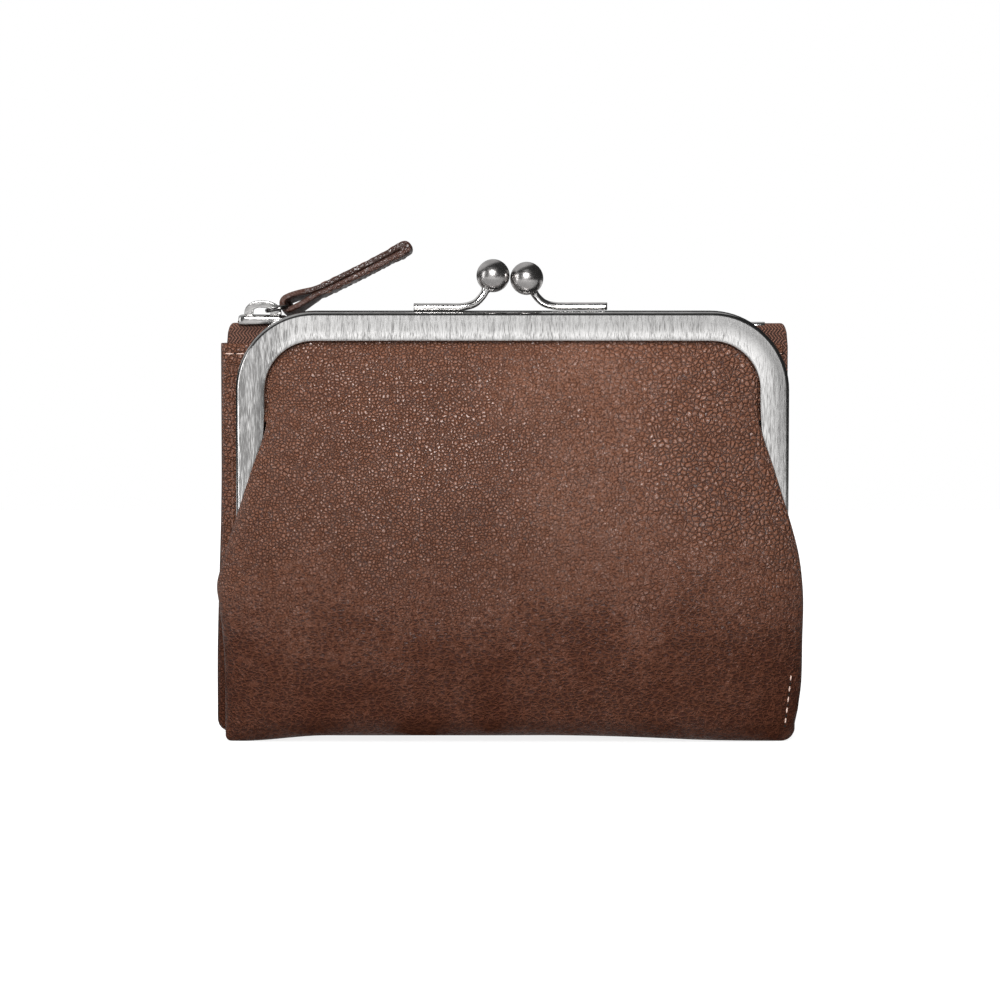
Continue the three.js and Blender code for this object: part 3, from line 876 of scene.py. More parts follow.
# ---------------------------------------------------------------- clasp frame
@dataclass
class ClaspFrame:
    """One half of the frame: a crowned brushed face between polished rounded edges."""

    layout: Layout
    finishes: Finishes
    corner: float = 17.0 * MM
    band: float = 6.4 * MM
    flange: float = 5.4 * MM
    sheet: float = 0.8 * MM
    gap: float = 0.15 * MM
    rim: float = 1.25 * MM
    rim_start: float = 24.0
    step: float = 0.13 * MM
    lip: float = 0.55 * MM
    crown: float = 0.14 * MM
    foot: float = 40.0 * MM
    ear: float = 3.0 * MM
    ear_inner: float = 58.1 * MM
    jog: Tuple[float, float] = (42.0 * MM, 46.0 * MM)
    turns: int = 20

    def section(self) -> List[Tuple[float, float]]:
        """The channel's closed section.

        Returns:
            Pairs of (distance in from the outer edge, distance out from the parting plane).
        """
        depth = abs(self.layout.face)
        rim = []
        for step in range(7):
            angle = math.radians(self.rim_start + (90.0 - self.rim_start) * step / 6)
            rim.append((self.rim * (1 - math.sin(angle)), depth - self.rim * (1 - math.cos(angle)) + self.step))
        edge = self.rim * (1 - math.sin(math.radians(self.rim_start)))
        rim.reverse()
        face = []
        for step in range(1, 8):
            share = step / 8
            inset = edge + share * (self.band - self.lip - edge)
            face.append((inset, depth + self.crown * math.sin(math.pi * share)))
        lip = []
        for step in range(6):
            angle = math.radians(90.0 * step / 5)
            lip.append((self.band - self.lip * (1 - math.sin(angle)), depth - self.lip * (1 - math.cos(angle))))
        inner = [
            (self.band, depth - self.sheet), (self.sheet, depth - self.sheet),
            (self.sheet, self.gap + self.sheet), (self.flange, self.gap + self.sheet),
            (self.flange, self.gap), (0.1 * MM, self.gap), (0.0, self.gap + 0.1 * MM)]
        return rim + face + lip + inner

    def build(self, half: Half) -> Piece:
        """Sweep the section up one leg, over the top and down the other leg.

        Args:
            half: which half to build.

        Returns:
            The finished half.
        """
        sign = half.value
        width = self.layout.frame_half
        top = self.layout.frame_top
        start = self.foot
        bm = bmesh.new()
        ring = [bm.verts.new((-width + inset, sign * out, start)) for inset, out in self.section()]
        edges = [bm.edges.new((ring[i], ring[(i + 1) % len(ring)])) for i in range(len(ring))]
        cap = bm.faces.new(ring)
        edges = self.run(bm, edges, (0, 0, top - self.corner - start), 6)
        edges = self.bend(bm, edges, (-width + self.corner, 0, top - self.corner))
        edges = self.run(bm, edges, (2 * (width - self.corner), 0, 0), 20)
        edges = self.bend(bm, edges, (width - self.corner, 0, top - self.corner))
        edges = self.run(bm, edges, (0, 0, -(top - self.corner - start)), 6)
        bmesh.ops.contextual_create(bm, geom=edges)
        for face in bm.faces:
            middle = face.calc_center_median()
            face.material_index = 0 if sign * middle.y > abs(self.layout.face) - 0.12 * MM else 1
        cap.material_index = 1
        for side in Side:
            self.add_ear(bm, half, side)
        body = BODY if half is Half.REAR else FRONT
        name = f"clasp_frame_{half.name.lower()}"
        piece = finished(name, bm, self.finishes.brushed, self.finishes.rim, sharp=21.0)
        return settle(piece, body, "brushed_frame", f"frame_{half.name.lower()}")

    @staticmethod
    def run(bm: Mesh, edges: List[Edge], along: Point, steps: int) -> List[Edge]:
        """Extrude the section's edges straight on and return the new ones."""
        for _ in range(steps):
            grown = bmesh.ops.extrude_edge_only(bm, edges=edges)["geom"]
            moved = [item for item in grown if isinstance(item, Corner)]
            bmesh.ops.translate(bm, verts=moved, vec=Vector(along) / steps)
            edges = [item for item in grown if isinstance(item, Edge)]
        return edges

    def bend(self, bm: Mesh, edges: List[Edge], centre: Point) -> List[Edge]:
        """Spin the section's edges a quarter turn round a corner and return the last ones."""
        grown = bmesh.ops.spin(bm, geom=edges, cent=centre, axis=(0, 1, 0), angle=math.pi / 2,
                               steps=self.turns, use_duplicate=False)["geom_last"]
        return [item for item in grown if isinstance(item, Edge)]

    def add_ear(self, bm: Mesh, half: Half, side: Side) -> None:
        """Add the hinge ear of one leg: a round tongue about the rivet, set inwards on the front half."""
        width = self.layout.frame_half
        inner = self.ear_inner if half is Half.FRONT else width - self.sheet
        x = side.value * inner
        high = self.jog[1] if half is Half.FRONT else self.foot + 1.0 * MM
        near = half.value * self.gap
        far = half.value * self.ear
        outline = self.ear_outline(x, half, high)
        verts = extruded_outline(bm, outline, (side.value * self.sheet, 0, 0))
        for face in {f for v in verts for f in v.link_faces}:
            face.material_index = 1
        if half is Half.FRONT:
            block = extruded_outline(bm, [
                (x, far * 1.25, self.jog[0]), (x, near, self.jog[0]), (x, near, self.jog[1]),
                (x, far * 1.25, self.jog[1])], (side.value * (width - inner - 0.05 * MM), 0, 0))
            for face in {f for v in block for f in v.link_faces}:
                face.material_index = 1

    def ear_outline(self, x: float, half: Half, high: float) -> List[Point]:
        """The tongue's outline: straight down from the leg, then round the rivet.

        Args:
            x: the plane it lies in.
            half: which half it belongs to.
            high: where the tongue meets the leg.

        Returns:
            The corners in order.
        """
        sign = half.value
        hinge = self.layout.hinge
        outline = [(x, sign * self.gap, high), (x, sign * self.ear, high)]
        for step in range(19):
            angle = -math.radians(270.0) * step / 18
            outline.append((x, sign * self.ear * math.cos(angle), hinge.z + self.ear * math.sin(angle)))
        outline.append((x, sign * self.gap, hinge.z + self.ear))
        return outline


@dataclass
class HingeRivet:
    """A domed rivet through the two ears of one leg."""

    layout: Layout
    finishes: Finishes
    shank: float = 1.0 * MM
    head: float = 1.9 * MM

    def build(self, side: Side) -> Piece:
        """Spin the rivet's profile round the hinge axis.

        Args:
            side: which end of the purse.

        Returns:
            The finished rivet.
        """
        node = f"hinge_rivet_{side.name.lower()}"
        low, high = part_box(node)
        inner, outer = (low.x, high.x) if side is Side.RIGHT else (high.x, low.x)
        sign = side.value
        plate = 0.7 * MM
        profile = [(inner, 0.0), (inner, 0.6 * self.head), (inner + sign * 0.25 * MM, 0.9 * self.head),
                   (inner + sign * plate, self.head), (inner + sign * plate, self.shank),
                   (outer - sign * plate, self.shank), (outer - sign * plate, self.head),
                   (outer - sign * 0.4 * MM, 0.96 * self.head), (outer - sign * 0.15 * MM, 0.7 * self.head),
                   (outer, 0.35 * self.head), (outer, 0.0)]
        bm = bmesh.new()
        hinge = self.layout.hinge
        verts = [bm.verts.new((x, hinge.y, hinge.z + radius)) for x, radius in profile]
        edges = [bm.edges.new(pair) for pair in zip(verts, verts[1:])]
        bmesh.ops.spin(bm, geom=verts + edges, cent=hinge, axis=(1, 0, 0), angle=2 * math.pi, steps=28,
                       use_merge=True)
        bmesh.ops.remove_doubles(bm, verts=bm.verts, dist=1e-6)
        piece = finished(f"rivet_{side.name.lower()}", bm, self.finishes.dark_nickel, sharp=60.0)
        return settle(piece, BODY, "dark_nickel", node)


# ---------------------------------------------------------------- ball clasp
@dataclass
class BallClasp:
    """One ball on its sprung arm, brazed to the top of its half of the frame."""

    layout: Layout
    finishes: Finishes
    bar: float = 0.84 * MM
    plating: float = 0.1 * MM
    steps: int = 40

    def build(self, half: Half) -> List[Piece]:
        """Make the ball and its arm.

        Args:
            half: which half it stands on.

        Returns:
            The ball and the arm.
        """
        word = half.name.lower()
        body = BODY if half is Half.REAR else FRONT
        ball_low, ball_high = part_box(f"clasp_ball_{word}")
        centre = (ball_low + ball_high) / 2.0
        radius = (ball_high.x - ball_low.x) / 2.0 + self.plating
        bm = bmesh.new()
        bmesh.ops.create_uvsphere(bm, u_segments=48, v_segments=32, radius=radius, matrix=Matrix.Translation(centre))
        ball = settle(finished(f"ball_{word}", bm, self.finishes.dark_nickel), body, "dark_nickel",
                      f"clasp_ball_{word}")
        arm_low, arm_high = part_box(f"clasp_arm_{word}")
        sign = -half.value
        tail = arm_low.x if half is Half.FRONT else arm_high.x
        rest = arm_low.z + self.bar + 0.06 * MM
        bend = tail + sign * 10.6 * MM if half is Half.FRONT else tail + sign * 11.2 * MM
        side = half.value * abs(self.layout.face) / 2.0
        toward = Vector((bend + sign * 3.2 * MM, side, rest)) - centre
        neck = centre + toward.normalized() * (radius - 0.3 * MM)
        knots = [
            (tail, side, rest), ((2 * tail + bend) / 3, side, rest), ((tail + 2 * bend) / 3, side, rest),
            (bend, side, rest + 0.05 * MM),
            (bend + 0.50 * (neck.x - bend), side + 0.3 * (neck.y - side), rest + 0.20 * (neck.z - rest)),
            (bend + 0.82 * (neck.x - bend), side + 0.7 * (neck.y - side), rest + 0.60 * (neck.z - rest)),
            tuple(neck)]
        route = smooth_route(knots, self.steps)
        widths = [self.thickness(i / self.steps) for i in range(self.steps + 1)]
        bm = bmesh.new()
        swept_bar(bm, route, widths)
        softened(bm, 0.16 * MM, 2, 60.0)
        arm = settle(finished(f"arm_{word}", bm, self.finishes.arm, sharp=70.0), body, "dark_nickel",
                     f"clasp_arm_{word}")
        return [ball, arm]

    def thickness(self, share: float) -> Tuple[float, float]:
        """Half height and half depth of the arm: flat where it is brazed, rounder at the ball."""
        neck = smooth(share, 0.5, 0.8)
        flare = smooth(share, 0.93, 1.0)
        tall = self.bar * (1.0 + 0.02 * neck + 0.25 * flare)
        deep = self.bar * (1.25 - 0.30 * neck + 0.25 * flare)
        return tall, deep


# ---------------------------------------------------------------- pouch
@dataclass
class FrontLeather:
    """The soft front: one sheet from the frame, over its legs, down the front and under the base.

    Heights are paired with half widths for each end, depths of the middle in front of the
    hinge plane, and depths of the outline's edge. An inset gives the lining inside it.
    """

    layout: Layout
    inset: float = 0.0
    columns: int = 150
    rows: int = 170
    throat_radius: float = 10.35 * MM
    throat_centre: Point = (43.0 * MM, 0.0, 76.0 * MM)
    tucked: float = 2.4 * MM
    corner: float = 7.0 * MM
    thickness: float = 1.1 * MM
    curl: float = 0.86
    narrow: float = 0.0
    recess: float = 0.0
    left: Knots = (
        (2 * MM, 62.3 * MM), (9 * MM, 62.3 * MM), (20 * MM, 62.6 * MM), (29 * MM, 63.5 * MM),
        (34 * MM, 64.1 * MM), (39.5 * MM, 62.7 * MM), (48 * MM, 60.1 * MM), (59 * MM, 56.5 * MM),
        (68.5 * MM, 53.35 * MM), (76 * MM, 53.35 * MM))
    right: Knots = (
        (2 * MM, 61.3 * MM), (8 * MM, 62.1 * MM), (13 * MM, 62.7 * MM), (22 * MM, 62.9 * MM),
        (30.5 * MM, 63.1 * MM), (36.5 * MM, 62.7 * MM), (41.5 * MM, 61.9 * MM), (48.5 * MM, 60.0 * MM),
        (59 * MM, 56.7 * MM), (69.5 * MM, 53.35 * MM), (76 * MM, 53.35 * MM))
    middle: Knots = (
        (7 * MM, 14.4 * MM), (12 * MM, 14.9 * MM), (22 * MM, 15.1 * MM), (34 * MM, 14.6 * MM),
        (45 * MM, 13.6 * MM), (56 * MM, 12.2 * MM), (66 * MM, 10.4 * MM), (75 * MM, 8.1 * MM),
        (81 * MM, 6.0 * MM), (84.6 * MM, 4.3 * MM), (86.3 * MM, 3.05 * MM))
    edge: Knots = (
        (7 * MM, 7.4 * MM), (15 * MM, 7.2 * MM), (26 * MM, 6.6 * MM), (36 * MM, 5.9 * MM),
        (48 * MM, 5.6 * MM), (60 * MM, 5.2 * MM), (67 * MM, 4.8 * MM), (69.4 * MM, 4.4 * MM),
        (71 * MM, 3.5 * MM), (73 * MM, 3.0 * MM))
    fullness: Knots = ((7 * MM, 5.5), (20 * MM, 4.4), (34 * MM, 3.3), (50 * MM, 2.5), (70 * MM, 2.7), (82 * MM, 3.4))
    roundness: Knots = ((50 * MM, 0.5), (72 * MM, 0.56), (84 * MM, 0.72))

    def half_width(self, z: float, side: float) -> float:
        """Half the leather's width at a height, on the left (-1) or the right (1)."""
        cx, _, cz = self.throat_centre
        if z <= cz:
            return through(self.right if side > 0 else self.left, z) - self.inset - self.narrow
        rise = min(z - cz, self.throat_radius)
        return cx + math.sqrt(max(0.0, self.throat_radius ** 2 - rise ** 2)) - self.inset

    def swell(self, share: float, z: float) -> float:
        """How far the section stands forward at a share of its half width, from 1 to 0."""
        power = through(self.fullness, z)
        return max(0.0, 1.0 - min(1.0, share) ** power) ** through(self.roundness, z)

    def lift(self, x: float, width: float) -> float:
        """How far the base stands off the ground: raised in the middle, rounded at its ends."""
        hollow = 1.25 * MM * smooth(x, -59 * MM, -40 * MM) * (1.0 - smooth(x, 5 * MM, 45 * MM))
        hollow += 0.35 * MM * bell(x, 30 * MM, 16 * MM)
        reach = (3.0 if x > 0 else 1.3) * MM
        over = max(0.0, abs(x) - (width - reach)) / reach
        return hollow + reach * (1.0 - math.sqrt(max(0.0, 1.0 - min(1.0, over) ** 2)))

    def relief(self, x: float, z: float) -> float:
        """Folds and slackness of the leather: how far a point sinks back.

        Args:
            x: across the front.
            z: the height.

        Returns:
            The depth, in metres; negative stands forward.
        """
        low, high = 68 * MM, 86 * MM
        slope = min(1.0, max(0.0, (z - low) / (high - low)))
        window = smooth(z, 64 * MM, 72 * MM) * (1.0 - smooth(z, 82.5 * MM, 86 * MM))
        valley_x = 53.0 * MM - 6.0 * MM * slope
        sink = 1.05 * MM * bell(x, valley_x, 1.7 * MM) * window
        sink += 0.55 * MM * bell(x, -valley_x - 0.6 * MM, 2.4 * MM) * window
        for centre_x, centre_z, reach_x, reach_z, depth, tilt in self.folds():
            dx = x - centre_x
            dz = z - centre_z - tilt * dx
            sink += depth * bell(dx, 0.0, reach_x) * bell(dz, 0.0, reach_z)
        slack = waver((x, 0.0, z), 24 * MM, 3.1) * 0.45 * MM + waver((x, 0.0, z), 9 * MM, 7.7) * 0.16 * MM
        hold = smooth(z, 8 * MM, 16 * MM) * (1.0 - smooth(z, 80 * MM, 86 * MM))
        return sink + slack * hold

    @staticmethod
    def folds() -> List[Tuple[float, float, float, float, float, float]]:
        """Soft folds: centre x and z, reach in x and z, depth and tilt."""
        return [
            (-55 * MM, 37.5 * MM, 9 * MM, 2.6 * MM, 0.75 * MM, 0.35),
            (-52 * MM, 43.0 * MM, 10 * MM, 3.0 * MM, -0.35 * MM, 0.40),
            (59 * MM, 36.5 * MM, 6.5 * MM, 1.6 * MM, 1.15 * MM, -0.22),
            (56 * MM, 32.5 * MM, 8 * MM, 2.2 * MM, -0.45 * MM, -0.10),
            (40 * MM, 27.0 * MM, 22 * MM, 1.7 * MM, 0.30 * MM, 0.06),
            (34 * MM, 20.5 * MM, 26 * MM, 1.5 * MM, 0.24 * MM, 0.03),
            (-8 * MM, 24.0 * MM, 26 * MM, 2.0 * MM, 0.16 * MM, -0.05),
            (-57 * MM, 22.0 * MM, 5 * MM, 2.2 * MM, 0.45 * MM, 0.30)]

    def front_y(self, x: float, z: float) -> float:
        """Where the leather's outer face is at a place on the front."""
        side = 1.0 if x > 0 else -1.0
        width = self.half_width(z, side)
        edge = through(self.edge, z) - self.inset
        middle = through(self.middle, z) - self.inset
        share = abs(x) / width
        swell = self.swell(share, z)
        recess = self.recess * bell(z, 29.5 * MM, 4.2 * MM)
        return -(edge + (middle - edge) * swell) + (self.relief(x, z) + recess) * swell

    def place(self, u: float, t: float) -> Point:
        """Place a point of the sheet.

        Args:
            u: from -1 to 1 across; past the curl share the sheet turns back round its edge.
            t: from 0 at the frame to 1 at the back of the base.

        Returns:
            The point.
        """
        side = 1.0 if u > 0 else -1.0
        front = min(1.0, abs(u) / self.curl)
        back = max(0.0, (abs(u) - self.curl) / (1.0 - self.curl)) if self.curl < 1.0 else 0.0
        share = math.sin(front * math.pi / 2.0)
        top = self.throat_centre[2] + self.throat_radius
        if t < 0.04:
            return self.tucked_point(side * share, back, t / 0.04, top)
        if t < 0.80:
            run = (t - 0.04) / 0.76
            run = 0.45 * run + 0.55 * run * run * (1.8 - 0.8 * run)
            z = top + (self.corner - top) * run
            return self.wall_point(side, share, back, z)
        if t < 0.90:
            return self.corner_point(side, share, back, (t - 0.80) / 0.10)
        return self.base_point(side, share, back, (t - 0.90) / 0.10)

    def tucked_point(self, share: float, back: float, down: float, top: float) -> Point:
        """A point hidden in the frame's channel, above the visible edge."""
        reach = self.throat_centre[0] - self.inset + back * 0.8 * MM
        sunk = through(self.middle, top) - self.inset
        return (share * reach, -sunk + (1.0 - down) * 0.3 * MM, top + self.tucked * (1.0 - down))

    def wall_point(self, side: float, share: float, back: float, z: float) -> Point:
        """A point of the front wall, or of its edge turned back behind it."""
        width = self.half_width(z, side)
        if back <= 0.0:
            x = side * share * width
            return (x, self.front_y(x, z), z)
        edge = through(self.edge, z) - self.inset
        throat = self.throat_centre[0] + self.throat_radius - self.inset
        over = 1.0 - smooth(z, 69.2 * MM, 71.5 * MM)
        below = 1.0 - smooth(z, 33.0 * MM, 40.0 * MM)
        end_x = throat + 1.5 * MM * (1.0 - over)
        end_y = -2.5 * MM - 1.75 * MM * over
        end_x = end_x + (width - 0.6 * MM - end_x) * below
        end_y = end_y + (-edge + 1.6 * MM - end_y) * below
        turn = back * math.pi / 2.0
        x = width + (end_x - width) * (1.0 - math.cos(turn))
        y = -edge + (end_y + edge) * math.sin(turn)
        return (side * x, y, z)

    def corner_point(self, side: float, share: float, back: float, down: float) -> Point:
        """A point of the rounded edge between the front and the base."""
        angle = down * math.pi / 2.0
        width = self.half_width(self.corner * (1.0 - math.sin(angle)), side)
        x = side * share * width
        edge = through(self.edge, self.corner) - self.inset
        middle = through(self.middle, self.corner) - self.inset
        swell = self.swell(share, self.corner)
        deep = edge + (middle - edge) * swell * math.cos(angle)
        raised = self.lift(x, width)
        z = self.inset + self.corner * (1.0 - math.sin(angle)) + raised * math.sin(angle)
        inward = 0.6 * MM * back
        return (x - side * inward, -deep + 1.6 * MM * back * (1.0 - down), z + 1.2 * MM * back * down)

    def base_point(self, side: float, share: float, back: float, run: float) -> Point:
        """A point of the base, from its front to the rear leather."""
        width = self.half_width(0.0, side)
        x = side * share * width
        start = -(through(self.edge, self.corner) - self.inset)
        y = start + (self.layout.pouch_back - 0.2 * MM - start) * run
        z = self.inset + self.lift(x, width)
        return (x - side * 0.6 * MM * back, y, z + 1.2 * MM * back)

    def sheet(self) -> Mesh:
        """The sheet as a mesh whose faces point outwards."""
        bm = moulded_sheet(self.columns, self.rows, self.place)
        bmesh.ops.recalc_face_normals(bm, faces=bm.faces)
        forward = min(bm.faces, key=lambda face: face.calc_center_median().y)
        if forward.normal.y > 0:
            bmesh.ops.reverse_faces(bm, faces=bm.faces)
        return bm


@dataclass
class Pouch:
    """The leather pouch with its gussets, rear leather, lining and corner seam."""

    layout: Layout
    finishes: Finishes
    thickness: float = 1.1 * MM
    bend_low: float = 24.0 * MM
    bend_high: float = 40.0 * MM
    gusset_top: float = 33.2 * MM
    gusset_fold: Knots = ((0.5 * MM, 0.6 * MM), (8 * MM, 2.2 * MM), (20 * MM, 4.4 * MM), (33 * MM, 5.6 * MM))
    rear_width: Knots = (
        (0 * MM, 61.3 * MM), (30.6 * MM, 61.5 * MM), (33.2 * MM, 56.5 * MM), (39.2 * MM, 56.5 * MM),
        (41.2 * MM, 58.6 * MM), (76 * MM, 58.6 * MM))

    def __post_init__(self) -> None:
        """Make the front sheet's shape."""
        self.front = FrontLeather(self.layout)

    def bends(self, piece: Piece) -> Piece:
        """Bake a piece's transform into its mesh and log its face count."""
        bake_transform(piece)
        LOG.info("%s bends between the bodies: %d faces", piece.name, len(piece.data.polygons))
        return piece

    def front_leather(self) -> Piece:
        """Build the front leather."""
        piece = finished("front_leather", self.front.sheet(), self.finishes.leather, outward=False)
        outer = len(piece.data.vertices)
        thickened(piece, self.thickness)
        self.tuck_corners(piece, outer)
        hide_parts("front_panel_upper", "front_panel_lower")
        return self.bends(piece)

    def tuck_corners(self, piece: Piece, outer: int) -> None:
        """Keep the inner face inside the outer one at the lower corners, where the sheet folds twice.

        Args:
            piece: the thickened leather.
            outer: how many of its vertices belong to the outer face.
        """
        for vert in piece.data.vertices[outer:]:
            if vert.co.z < self.front.corner:
                side = math.copysign(1.0, vert.co.x)
                limit = self.front.half_width(vert.co.z, side) - 0.9 * MM
                vert.co.x = side * min(abs(vert.co.x), limit)

    def front_lining(self) -> Piece:
        """Build the lining inside the front and the base."""
        shape = FrontLeather(self.layout, inset=1.35 * MM, columns=90, rows=110, curl=1.0, narrow=2.4 * MM,
                             recess=4.2 * MM, tucked=0.8 * MM)
        piece = finished("front_lining", shape.sheet(), self.finishes.lining, outward=False)
        thickened(piece, 0.3 * MM)
        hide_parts("lining_front", "lining_lower")
        return self.bends(piece)

    def gusset(self, side: Side) -> Piece:
        """Build one folded side from the front leather's edge back to the rear leather.

        Args:
            side: which end of the purse.

        Returns:
            The finished gusset.
        """
        sign = float(side.value)
        shape = self.front

        def place(u: float, t: float) -> Point:
            """Place a point; u runs from the front to the rear edge and t from the top down."""
            z = self.gusset_top + (0.75 * MM - self.gusset_top) * t
            share = (u + 1.0) / 2.0
            width = shape.half_width(z, sign)
            edge = through(shape.edge, max(z, shape.corner))
            fore = Vector((width - 0.75 * MM, -edge + 0.7 * MM))
            aft = Vector((61.4 * MM, self.layout.pouch_back - 0.35 * MM))
            spot = fore.lerp(aft, share)
            fold = through(self.gusset_fold, z) * math.sin(math.pi * share) ** 1.6
            ripple = waver((sign * 60 * MM, spot.y, z), 7 * MM, 5.5) * 0.25 * MM * math.sin(math.pi * share)
            raise_ends = 0.6 * MM * smooth(t, 0.93, 1.0)
            return (sign * (spot.x - fold + ripple), spot.y, z + raise_ends * 0.3)

        bm = facing(moulded_sheet(28, 70, place), Vector((sign, 0, 0)))
        word = side.name.lower()
        piece = finished(f"side_gusset_{word}", bm, self.finishes.pocket_leather, outward=False)
        thickened(piece, 0.9 * MM)
        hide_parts(f"gusset_{word}")
        return self.bends(piece)

    def rear_sheet(self, name: str, outer: float, inset: float, top: float, finish: Material,
                   thickness: float) -> Piece:
        """Build a sheet that hangs in the rear half of the frame.

        Args:
            name: the piece's name.
            outer: the y of its rear face.
            inset: how much narrower it is than the leather.
            top: the height of its top edge.
            finish: its material.
            thickness: how thick it is.

        Returns:
            The finished sheet.
        """
        low = 0.0015 + inset

        def place(u: float, t: float) -> Point:
            """Place a point of the sheet, rounding its top corners under the frame."""
            z = top + (low - top) * t
            width = through(self.rear_width, z) - inset
            corner = 76.0 * MM
            if z > corner:
                reach = 15.6 * MM - inset
                width = 43.0 * MM + math.sqrt(max(0.0, reach ** 2 - (z - corner) ** 2))
            bow = 0.25 * MM * waver((u * 0.06, 0.0, z), 18 * MM, 2.2) * (1.0 - smooth(z, 60 * MM, 76 * MM))
            return (u * width, outer - abs(bow), z)

        bm = facing(moulded_sheet(60, 90, place), Vector((0, 1, 0)))
        piece = finished(name, bm, finish, outward=False)
        return thickened(piece, thickness)

    def corner_seam(self) -> Piece:
        """Sew the short seam near the lower right corner of the front."""
        route = []
        for step in range(41):
            share = step / 40.0
            z = 14.8 * MM + (2.0 * MM - 14.8 * MM) * share
            x = 60.3 * MM - 1.5 * MM * share
            low = max(z, self.front.corner)
            y = self.front.front_y(x, low)
            under = max(0.0, self.front.corner - z)
            bow = self.front.corner - math.sqrt(max(0.0, self.front.corner ** 2 - under ** 2))
            route.append(Vector((x, y + bow * 0.8, z)))
        row = StitchRow(length=1.25 * MM, gap=1.1 * MM, thick=0.2 * MM)
        seam = row.sew("corner_seam", route, lambda spot: Vector((0.25, -1.0, 0.0)),
                       self.finishes.pale_thread, self.finishes.hole)
        return settle(seam, BODY, "pouch_leather")

    def build(self) -> None:
        """Build the whole pouch."""
        self.front_leather()
        self.front_lining()
        for side in Side:
            self.gusset(side)
        rear = self.rear_sheet("rear_leather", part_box("rear_panel")[1].y, 0.0, 88.9 * MM,
                               self.finishes.pocket_leather, self.thickness)
        settle(rear, BODY, "pouch_leather", "rear_panel")
        inner = self.rear_sheet("rear_lining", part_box("lining_rear")[1].y, 4.6 * MM, 86.4 * MM,
                                self.finishes.lining, 0.35 * MM)
        settle(inner, BODY, "lining_cloth", "lining_rear")
        self.corner_seam()


